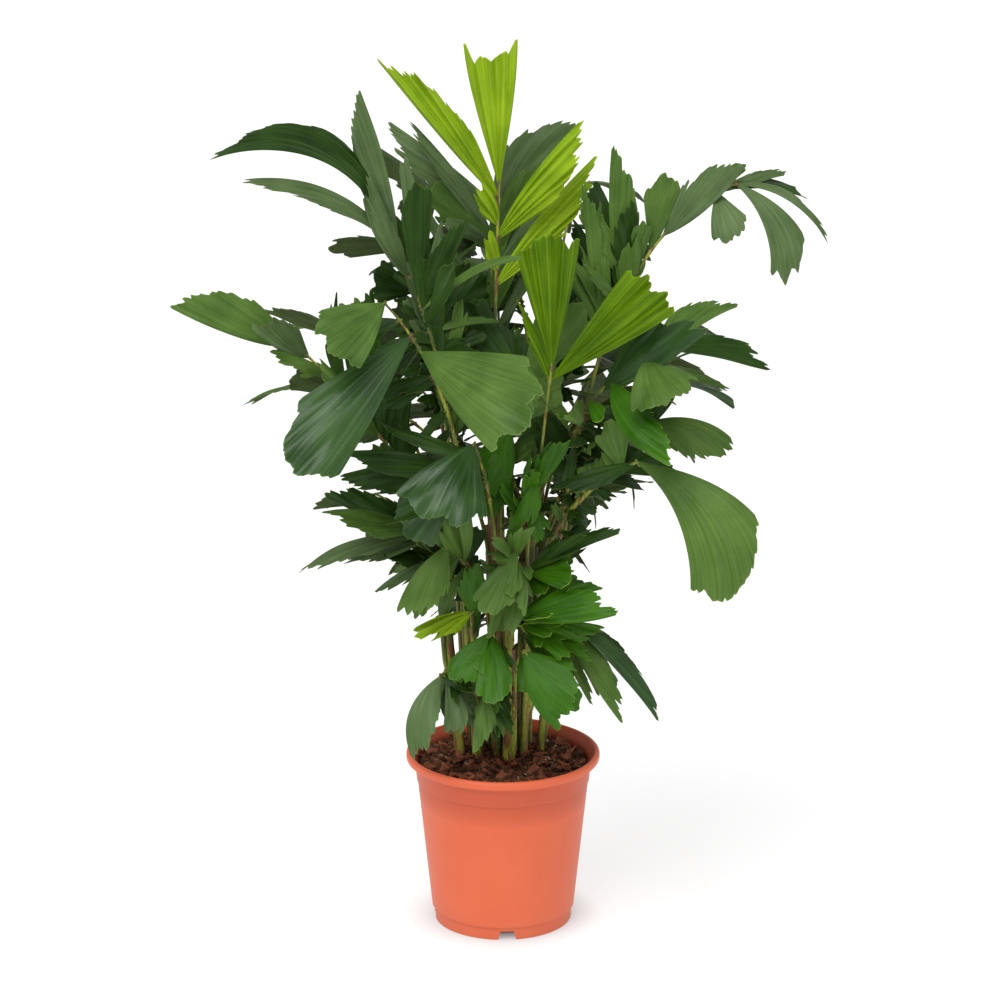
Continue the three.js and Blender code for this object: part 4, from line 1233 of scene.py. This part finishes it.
def spines(name, paths):
    """Paths as one mesh of edges. Each path is its points and how thick it is there, in mm."""
    points, thick, along, edges = [], [], [], []
    for number, (line, radii) in enumerate(paths):
        steps = np.linalg.norm(np.diff(line, axis=0), axis=1)
        first = len(points)
        points.extend(line * MM)
        thick.extend(radii * MM)
        along.extend((np.concatenate([[0], np.cumsum(steps)]) + 37 * vary(number)) * MM)
        edges.extend((i, i + 1) for i in range(first, first + len(line) - 1))
    mesh = bpy.data.meshes.new(name)
    mesh.from_pydata(points, edges, [])
    for title, values in (("thick", thick), ("along", along)):
        mesh.attributes.new(title, "FLOAT", "POINT").data.foreach_set("value", values)
    return mesh


skin = limb_tree()
NO_SCARS = (9.0, 0.0)


def skinned(name, paths, material, sides, scars, relief, relief_scale):
    """The limbs of one piece. Scars are the distance between them and their height, in metres."""
    return run_tree(skin, spines(name, paths), **{
        "Sides": sides, "Scar spacing": scars[0], "Scar height": scars[1], "Relief": relief,
        "Relief scale": relief_scale, "Material": material})


# %% [markdown]
# The canes are as thick as a finger at most, jointed by leaf scars. Some are bare and yellow-green,
# others still wear brown, papery remains of old sheaths in long strips. Where a stalk leaves its
# cane, its sheath clasps the cane in coarse brown fibre, which frays at the top.


# %% Limb finishes
def limb_finish(name, dark, light, strip):
    """A tone for each stem, long strips up it in a second colour, and dark flecks."""
    material, kit = begin_finish(name)
    place = object_place(kit)
    strips = kit.noise(kit.stretched(place, 1.0, 1.0, 0.10), 120.0, 3.0)
    fibre = kit.noise(kit.stretched(place, 1.0, 1.0, 0.05), 900.0, 3.0)
    tone = kit.noise(kit.stretched(place, 1.0, 1.0, 0.06), 52.0, 1.0)
    cloud = kit.noise(place, 30.0, 3.0)
    flecks = kit.noise(kit.stretched(place, 1.0, 1.0, 0.5), 420.0, 2.0).between(0.62, 0.72)
    base = kit.blend((tone * 0.75 + cloud * 0.25).between(0.42, 0.58), dark, light)
    base = kit.blend(strips.between(0.55, 0.58), base, strip)
    base = kit.blend(flecks * 0.8, base, colour(40, 28, 18))
    base = kit.blend(fibre.between(0.4, 0.8) * 0.25, base, colour(206, 190, 140))
    end_finish(kit, base, 0.5 + strips * 0.2, fibre + strips, 0.0004, specular=0.35)
    return material


green_cane = limb_finish("cane_green", colour(72, 84, 18), colour(182, 178, 58), colour(112, 62, 34))
brown_cane = limb_finish("cane_brown", colour(80, 42, 24), colour(178, 108, 64), colour(116, 104, 38))
sheath_fibre = limb_finish("sheath_fibre", colour(64, 44, 26), colour(124, 92, 58), colour(78, 74, 34))
stalk_green = limb_finish("stalk_green", colour(66, 88, 18), colour(156, 164, 54), colour(116, 88, 42))
joint_brown = limb_finish("joint_brown", colour(84, 88, 32), colour(110, 122, 44), colour(92, 74, 36))


# %% Build the canes
CANE_ROOT = 6
CANE_ROW = 2.2
CANE_BOW = 1.6
FLARE = 1.8
FLARE_HEIGHT = 14
TIP_LENGTH = 34


def cane_path(cane, number):
    """From just under the soil to the growing tip, with a slight bow and a flare at the foot."""
    rows = math.ceil((cane["tip"][2] - GROUND) / CANE_ROW)
    heights = np.linspace(GROUND - CANE_ROOT, cane["tip"][2], rows)
    rise = (heights - heights[0]) / (heights[-1] - heights[0])
    line = np.array([cane_at(cane, height) for height in heights])
    bow = CANE_BOW * np.sin(math.pi * rise * (1 + vary(number + 5)))
    aim = 6.3 * vary(number + 9)
    line[:, 0] += bow * math.cos(aim)
    line[:, 1] += bow * math.sin(aim)
    flare = FLARE * np.exp(-np.maximum(0, heights - GROUND) / FLARE_HEIGHT)
    tip = np.clip((heights[-1] - heights) / TIP_LENGTH, 0.12, 1) ** 0.6
    return line, (cane_radius(cane, heights) + flare) * tip


dressed = {"canes_green": (green_cane, []), "canes_brown": (brown_cane, [])}
for i in range(CANES):
    dressed["canes_green" if vary(i + 91) > 0.5 else "canes_brown"][1].append(i)
for name, (material, members) in dressed.items():
    paths = [cane_path(canes[i], i) for i in members]
    mesh = skinned(name, paths, material, sides=14, scars=(0.043, 0.0007), relief=0.0009,
                   relief_scale=260.0)
    place_piece(name, mesh, [f"cane_{i + 1:02d}" for i in members])


# %% Build the stalks
STALK_BESIDE = (110, 300)
STALK_ROW = 8
STALK_BELOW = (4.3, 3.3)
STALK_BODY = (3.0, 1.4)
KNOB = 0.45
KNOB_LENGTH = 4


def stalk_path(frond, number):
    """Up beside its cane, along the curve, and thinner towards the last leaflet."""
    cane, start = frond["cane"], frond["curve"][0]
    run = min(mix(*STALK_BESIDE, vary(number + 0.7)), start[2] - GROUND - 4)
    rise = np.linspace(0, 1, math.ceil(run / STALK_ROW))[:-1]
    inner = cane_at(cane, start[2])
    lead = np.array([cane_at(cane, start[2] - run * (1 - t)) for t in rise])
    lead += (start - inner) * np.minimum(1, 0.5 + rise * 3)[:, None]
    shares = np.linspace(0, 1, math.ceil(frond["reach"] / STALK_ROW))
    line = np.concatenate([lead, [on_curve(frond, t) for t in shares]])
    body = mix(*STALK_BODY, shares)
    for leaf in frond["blades"]:
        body = body + KNOB * np.exp(-((shares - leaf["share"]) * frond["reach"] / KNOB_LENGTH) ** 2)
    return line, np.concatenate([mix(*STALK_BELOW, rise) * np.minimum(1, 0.4 + rise * 8), body])


paths = [stalk_path(frond, i) for i, frond in enumerate(fronds)]
mesh = skinned("stalks", paths, stalk_green, sides=9, scars=NO_SCARS, relief=0.0005,
               relief_scale=300.0)
place_piece("stalks", mesh, [frond["name"] for frond in fronds])


# %% Build the sheaths
SHEATH_ROWS = 30
SHEATH_BELOW = 70
SHEATH_ABOVE = 7
SHEATH_SLACK = 0.5
SHEATH_OPENING = 1.9
SHEATH_LEAN = 0.32


def sheath_path(frond):
    """A sleeve round the cane that opens towards its stalk."""
    cane, start = frond["cane"], frond["curve"][0]
    heights = np.linspace(start[2] - SHEATH_BELOW, start[2] + SHEATH_ABOVE, SHEATH_ROWS)
    rise = np.linspace(0, 1, SHEATH_ROWS)
    line = np.array([cane_at(cane, height) for height in heights])
    line += (start - cane_at(cane, start[2])) * (SHEATH_LEAN * rise ** 3)[:, None]
    return line, cane_radius(cane, heights) + SHEATH_SLACK + SHEATH_OPENING * rise ** 1.5


paths = [sheath_path(frond) for frond in fronds]
mesh = skinned("sheaths", paths, sheath_fibre, sides=16, scars=(0.017, 0.0005), relief=0.0022,
               relief_scale=420.0)
place_piece("sheaths", mesh)

# %% Build the joints of the leaflets
JOINT_LENGTH = 7
JOINT_RADIUS = 1.9


def joint_path(leaf):
    """The swollen foot of a leaflet, from inside the stalk to the start of the blade."""
    shares = np.linspace(-0.5, 1, 5)
    line = leaf["foot"] + leaf["chord"] * (shares * JOINT_LENGTH)[:, None]
    return line, JOINT_RADIUS * np.cos(shares * 1.25) ** 0.7


paths = [joint_path(leaf) for frond in fronds for leaf in frond["blades"]]
mesh = skinned("leaf_joints", paths, joint_brown, sides=5, scars=NO_SCARS, relief=0.0005,
               relief_scale=500.0)
place_piece("leaf_joints", mesh)

# %% [markdown]
# A fishtail leaflet is a stiff thin wedge. Its veins fan out from the foot, the blade is folded
# lightly between them, and the end looks bitten off: each fold ends in an uneven tooth. A grid of
# rows and columns whose columns follow the veins gives all of that in one formula, so the folds,
# the teeth and the veins of the finish always agree. Both sides and the thin edge are made.

# %% The bitten end, in millimetres
LOBE_WIDTH = 12.0
WIDE_LEAFLET = 68
BAY = 0.08
LOBE_POINT = (0.2, 0.8)
SCALLOP = (0.3, 1.5)
TEAR = 1.6


def bitten(leaf, v, lobes, depth, seed):
    """How much of the blade is missing at its end: the solid's bays, then lobes, then small teeth."""
    def dealt(low, high, place, offset):
        return np.array([mix(low, high, vary(seed + offset + k)) for k in range(place.max() + 1)])[place]

    bays = 3 if leaf["width"] >= WIDE_LEAFLET else 2
    bay = np.clip((v + 1) / 2 * bays, 0, bays - 1e-6)
    deep = (1 - np.abs(2 * (bay % 1) - 1)) ** 1.5 * dealt(0.0, BAY, bay.astype(int), 20)
    place = np.clip((v + 1) / 2 * lobes, 0, lobes - 1e-6)
    lobe = place.astype(int)
    point = dealt(*LOBE_POINT, lobe, 0)
    within = place - lobe
    slope = np.where(within < point, (point - within) / point, (within - point) / (1 - point))
    scallop = dealt(*SCALLOP, lobe, 50) * slope ** 0.8 + dealt(0, 1.0, lobe, 90) ** 3 * TEAR
    tooth = np.abs((place * 2.5 + 0.3 * np.sin(place * 5.1)) % 1 - 0.35) * 0.5
    steep = 1 + 3.5 * slant_of(leaf) ** 2
    return deep + steep * depth / leaf["length"] * (scallop + tooth)


# %% One leaflet as arrays, its sizes in millimetres
CELLS_PER_LOBE = 4
ROW_LENGTH = 6.0
INNER_CELLS = 3  # the inner leaflets, half hidden, have fewer faces
INNER_ROW = 13.0
FEWEST_ROWS = 7
ROW_CROWDING = 1.15
FRILL = 1.3
BLADE_THICKNESS = 0.7
FOOT_THICKNESS = 1.8


def blade(leaf, number, fold, depth, pleat):
    """One leaflet: its points in metres, faces, UV, and which finish each face takes."""
    seed = 7 * number + 3
    end_length = math.hypot(leaf["width"], slant_of(leaf) * leaf["length"])
    lobes = max(3, round(end_length / LOBE_WIDTH))
    pleats = leaf["width"] / pleat
    cells, row = (INNER_CELLS, INNER_ROW) if leaf.get("inner") else (CELLS_PER_LOBE, ROW_LENGTH)
    columns = lobes * cells + 1
    rows = max(FEWEST_ROWS, round(leaf["length"] / row)) + 1
    v = np.linspace(-1, 1, columns)[None, :]
    t = 1 - (1 - np.linspace(0, 1, rows)[:, None]) ** ROW_CROWDING
    missing = bitten(leaf, v, lobes, depth, seed)
    u = np.clip(end_at(leaf, v) * t - missing * np.clip((t - 0.5) / 0.5, 0, 1) ** 1.6, 0, 1)
    vein = ((v + 1) / 2 + 0.03 * np.sin(7 * v + 6 * vary(seed + 4))) * pleats
    half = half_width(leaf, u)
    ridge = -np.cos(2 * math.pi * vein)
    ripple = np.sin(2 * math.pi * (1.1 * u + 0.6 * v + vary(seed + 1))) * (0.3 + np.abs(v))
    ripple = ripple + 0.6 * np.sin(2 * math.pi * (1.7 * u - 1.3 * v + vary(seed + 2)))
    frill = np.sin(math.pi * ((v + 1) / 2 * lobes + 2 * vary(seed + 3))) * u ** 3 * FRILL
    lift = fold * ridge * 2 * half / pleats + ripple * u * (0.7 + half * 0.05) + frill
    top, out = leaflet_points(leaf, u, v, lift)
    under = top - out * mix(FOOT_THICKNESS, BLADE_THICKNESS, np.clip(u * 5, 0, 1))[..., None]
    index = np.arange(rows * columns).reshape(rows, columns)
    faces = np.stack([index[:-1, :-1], index[:-1, 1:], index[1:, 1:], index[1:, :-1]], axis=-1)
    faces = faces.reshape(-1, 4)
    edge = np.concatenate([index[0, :-1], index[:-1, -1], index[-1, :0:-1], index[:0:-1, 0]])
    after = np.roll(edge, -1)
    offset = rows * columns
    rim = np.stack([after, edge, edge + offset, after + offset], axis=-1)
    quads = np.concatenate([faces, faces[:, ::-1] + offset, rim])
    uv = np.stack([vein + 32 * number + 0 * u, t + 0 * u], axis=-1).reshape(-1, 2)
    sides = np.concatenate([np.zeros(len(faces)), np.ones(len(faces) + len(rim))])
    points = np.concatenate([top.reshape(-1, 3), under.reshape(-1, 3)]) * MM
    return points, quads, np.concatenate([uv, uv]), sides


# %% [markdown]
# The greens. Old leaflets are dark and bluish, some with a waxy gloss, and some look silvery where
# they turn their dull side. Others are a duller middle green, the low young ones a fresh green, and
# the newest, still folded, yellow-green, with the spear the palest. That is a colour with a place,
# so each leaflet is dealt to the piece of its green. Inside a green, streaks follow the veins, and
# the tips of the teeth are a little dry. On the older greens, pale bluish streaks along the veins
# are painted highlights. The undersides are paler and matt.


# %% Leaf finishes
def leaf_finish(name, deep, pale, vein, roughness, specular, lines=0.3, painted_highlight=0.0):
    material, kit = begin_finish(name)
    place = object_place(kit)
    veins = kit.node("ShaderNodeUVMap", {"uv_map": "blade"})
    across, along = kit.part(veins, "X"), kit.part(veins, "Y")
    streaks = kit.noise(kit.stretched(veins, 2.4, 1.2, 1.0), 1.0, 4.0)
    cloud = kit.noise(place, 16.0, 3.0)
    main = (1 - across.zigzag()) ** 9
    fine = (across * 4.0).zigzag() ** 3
    specks = kit.noise(place, 420.0, 1.0).between(0.78, 0.82)
    base = kit.blend((streaks * 0.5 + cloud * 0.6).between(0.38, 0.74), deep, pale)
    # Painted highlight: pale bluish streaks along the veins, as strong as each green's painted_highlight.
    painted_highlight_streaks = kit.noise(kit.stretched(veins, 1.1, 1.0, 1.0), 1.0, 2.0).between(0.55, 0.75)
    base = kit.blend(painted_highlight_streaks * painted_highlight, base, colour(128, 152, 122))
    base = kit.blend((main * 0.5 + fine * 0.3) * lines, base, vein)
    base = kit.blend(along.between(0.985, 1.0) * 0.6, base, vein)
    base = kit.blend(specks * 0.4, base, colour(150, 160, 120))
    pucker = kit.noise(place, 48.0, 2.0) * 2.4
    height = (main * 0.7 + fine * 0.5) * lines + streaks * 0.7 + pucker
    end_finish(kit, base, roughness + streaks * 0.12 + cloud * 0.1 + specks * 0.2, height, 0.0003, specular)
    return material


# name, deep, pale and vein colours, roughness, specular, vein lines, painted highlight, fold, tooth depth,
# pleat
GREENS = {
    "d": ("dark", (18, 42, 4), (46, 76, 16), (80, 108, 40), 0.34, 0.14, 0.2, 0.1, 0.012, 3.0, 10),
    "g": ("gloss", (18, 48, 8), (48, 86, 22), (82, 116, 50), 0.24, 0.34, 0.2, 0.25, 0.018, 3.0, 12),
    "s": ("silver", (58, 80, 40), (96, 118, 72), (122, 140, 96), 0.44, 0.16, 0.25, 0.3, 0.02, 3.4, 10),
    "m": ("middle", (52, 84, 24), (92, 122, 50), (120, 146, 76), 0.36, 0.18, 0.25, 0.1, 0.014, 3.2, 10),
    "f": ("fresh", (32, 78, 0), (62, 112, 8), (104, 146, 40), 0.32, 0.2, 0.35, 0.0, 0.018, 3.2, 10),
    "b": ("young", (56, 90, 0), (98, 132, 2), (140, 168, 34), 0.42, 0.14, 0.45, 0.0, 0.2, 5.0, 13),
    "y": ("spear", (96, 132, 0), (154, 186, 26), (190, 208, 84), 0.44, 0.14, 0.5, 0.0, 0.2, 5.0, 12),
}
UNDER = {
    "dull": ((56, 76, 34), (86, 104, 58), (112, 124, 78)),
    "bright": ((94, 124, 26), (128, 154, 46), (156, 176, 80)),
}
undersides = {name: leaf_finish("leaf_under_" + name, *(colour(*c) for c in colours), 0.55, 0.12)
              for name, colours in UNDER.items()}


# %% Make every blade and deal it to its green
MOST_TRIANGLES = 185_000


def place_blades(name, number, blades, nodes, finishes):
    """Joins blades into one piece. To clear its materials would also clear which one a face takes."""
    points, quads, uv, sides = zip(*blades)
    starts = np.cumsum([0] + [len(p) for p in points[:-1]])
    mesh = mesh_from(name + "_blades", np.concatenate(points),
                     np.concatenate([faces + start for faces, start in zip(quads, starts)]),
                     np.concatenate(uv), np.concatenate(sides))
    for material in finishes:
        mesh.materials.append(material)
    mesh.set_sharp_from_angle(angle=math.radians(55))
    place_piece(f"leaves_{name}_{number}", mesh, sorted(nodes))


def deal_leaves():
    """Fills one piece after another of each green, each under the most triangles it may have."""
    number = 0
    for letter, (name, deep, pale, vein, *light, fold, depth, pleat) in GREENS.items():
        upper = leaf_finish("leaf_" + name, colour(*deep), colour(*pale), colour(*vein), *light)
        finishes = [upper, undersides["bright" if letter in "fby" else "dull"]]
        heap, nodes, faces, piece = [], set(), 0, 1
        for frond in fronds:
            for leaf in frond["blades"]:
                if leaf["green"] != letter:
                    continue
                number += 1
                made = blade(leaf, number, fold, depth, pleat)
                if 2 * (faces + len(made[1])) > MOST_TRIANGLES:
                    place_blades(name, piece, heap, nodes, finishes)
                    heap, nodes, faces, piece = [], set(), 0, piece + 1
                heap.append(made)
                nodes.add(frond["name"])
                faces += len(made[1])
        place_blades(name, piece, heap, nodes, finishes)


deal_leaves()

# %% [markdown]
# The picture is a plant on a seamless white floor under big soft lamps. A wide pale floor that glows
# a little, a bright even sky for the fill and two broad suns for direction give that light at any
# size. The camera stands five metres off, a little over two metres up, and looks down on the plant.

# %% Floor
FLOOR_SIZE = 80.0
PAINTED_SHADOW_CORE = 0.062
PAINTED_SHADOW_EDGE = 0.135


def floor_finish():
    """A pale sweep that glows by itself, but for a painted contact shadow under and round the pot."""
    material, kit = begin_finish("pale_floor")
    place = object_place(kit)
    cloud = kit.noise(place, 3.0)
    # Painted contact shadow: no glow out to PAINTED_SHADOW_CORE, which also darkens the notches, full glow
    # past PAINTED_SHADOW_EDGE.
    outside_painted_shadow = kit.from_axis(place).between(PAINTED_SHADOW_CORE, PAINTED_SHADOW_EDGE) ** 0.5
    tint = kit.blend(outside_painted_shadow, BLACK, WHITE)
    base = kit.blend(cloud, colour(168, 168, 168), colour(172, 172, 172))
    end_finish(kit, base, 0.85 + cloud * 0.05, cloud, 0.0001, specular=0.0, glow=0.67, tint=tint)
    return material


half = FLOOR_SIZE / 2
corners = np.array([(-half, -half, 0), (half, -half, 0), (half, half, 0), (-half, half, 0)])
floor_mesh = mesh_from("floor", corners, np.array([[0, 1, 2, 3]]), smooth=False)
floor_mesh.materials.append(floor_finish())
floor = add_object("floor", floor_mesh)

# %% Light
world = bpy.data.worlds.new("studio")
world.use_nodes = True
sky = world.node_tree.nodes["Background"]
sky.inputs["Color"].default_value = WHITE
sky.inputs["Strength"].default_value = 0.52
bpy.context.scene.world = world

# name, strength, spread in degrees, height over the horizon, turn from the front
SUNS = [("key", 2.0, 44, 54, -30), ("fill", 0.5, 70, 40, 42)]
for name, strength, spread, rise, turn in SUNS:
    lamp = bpy.data.lights.new(name, "SUN")
    lamp.energy = strength
    lamp.angle = math.radians(spread)
    sun = add_object(name, lamp)
    sun.rotation_euler = (math.radians(90 - rise), 0, math.radians(turn))

# %% Camera
CAMERA_PLACE = (-0.0039, -5.2, 2.15)
CAMERA_TILT = 16.92
FOCAL_LENGTH = 153.5

bpy.context.scene.view_settings.view_transform = "Standard"
lens = bpy.data.cameras.new("camera")
lens.sensor_width = 36
lens.lens = FOCAL_LENGTH
camera = add_object("camera", lens)
camera.location = CAMERA_PLACE
camera.rotation_euler = (math.radians(90 - CAMERA_TILT), 0, 0)
bpy.context.scene.camera = camera
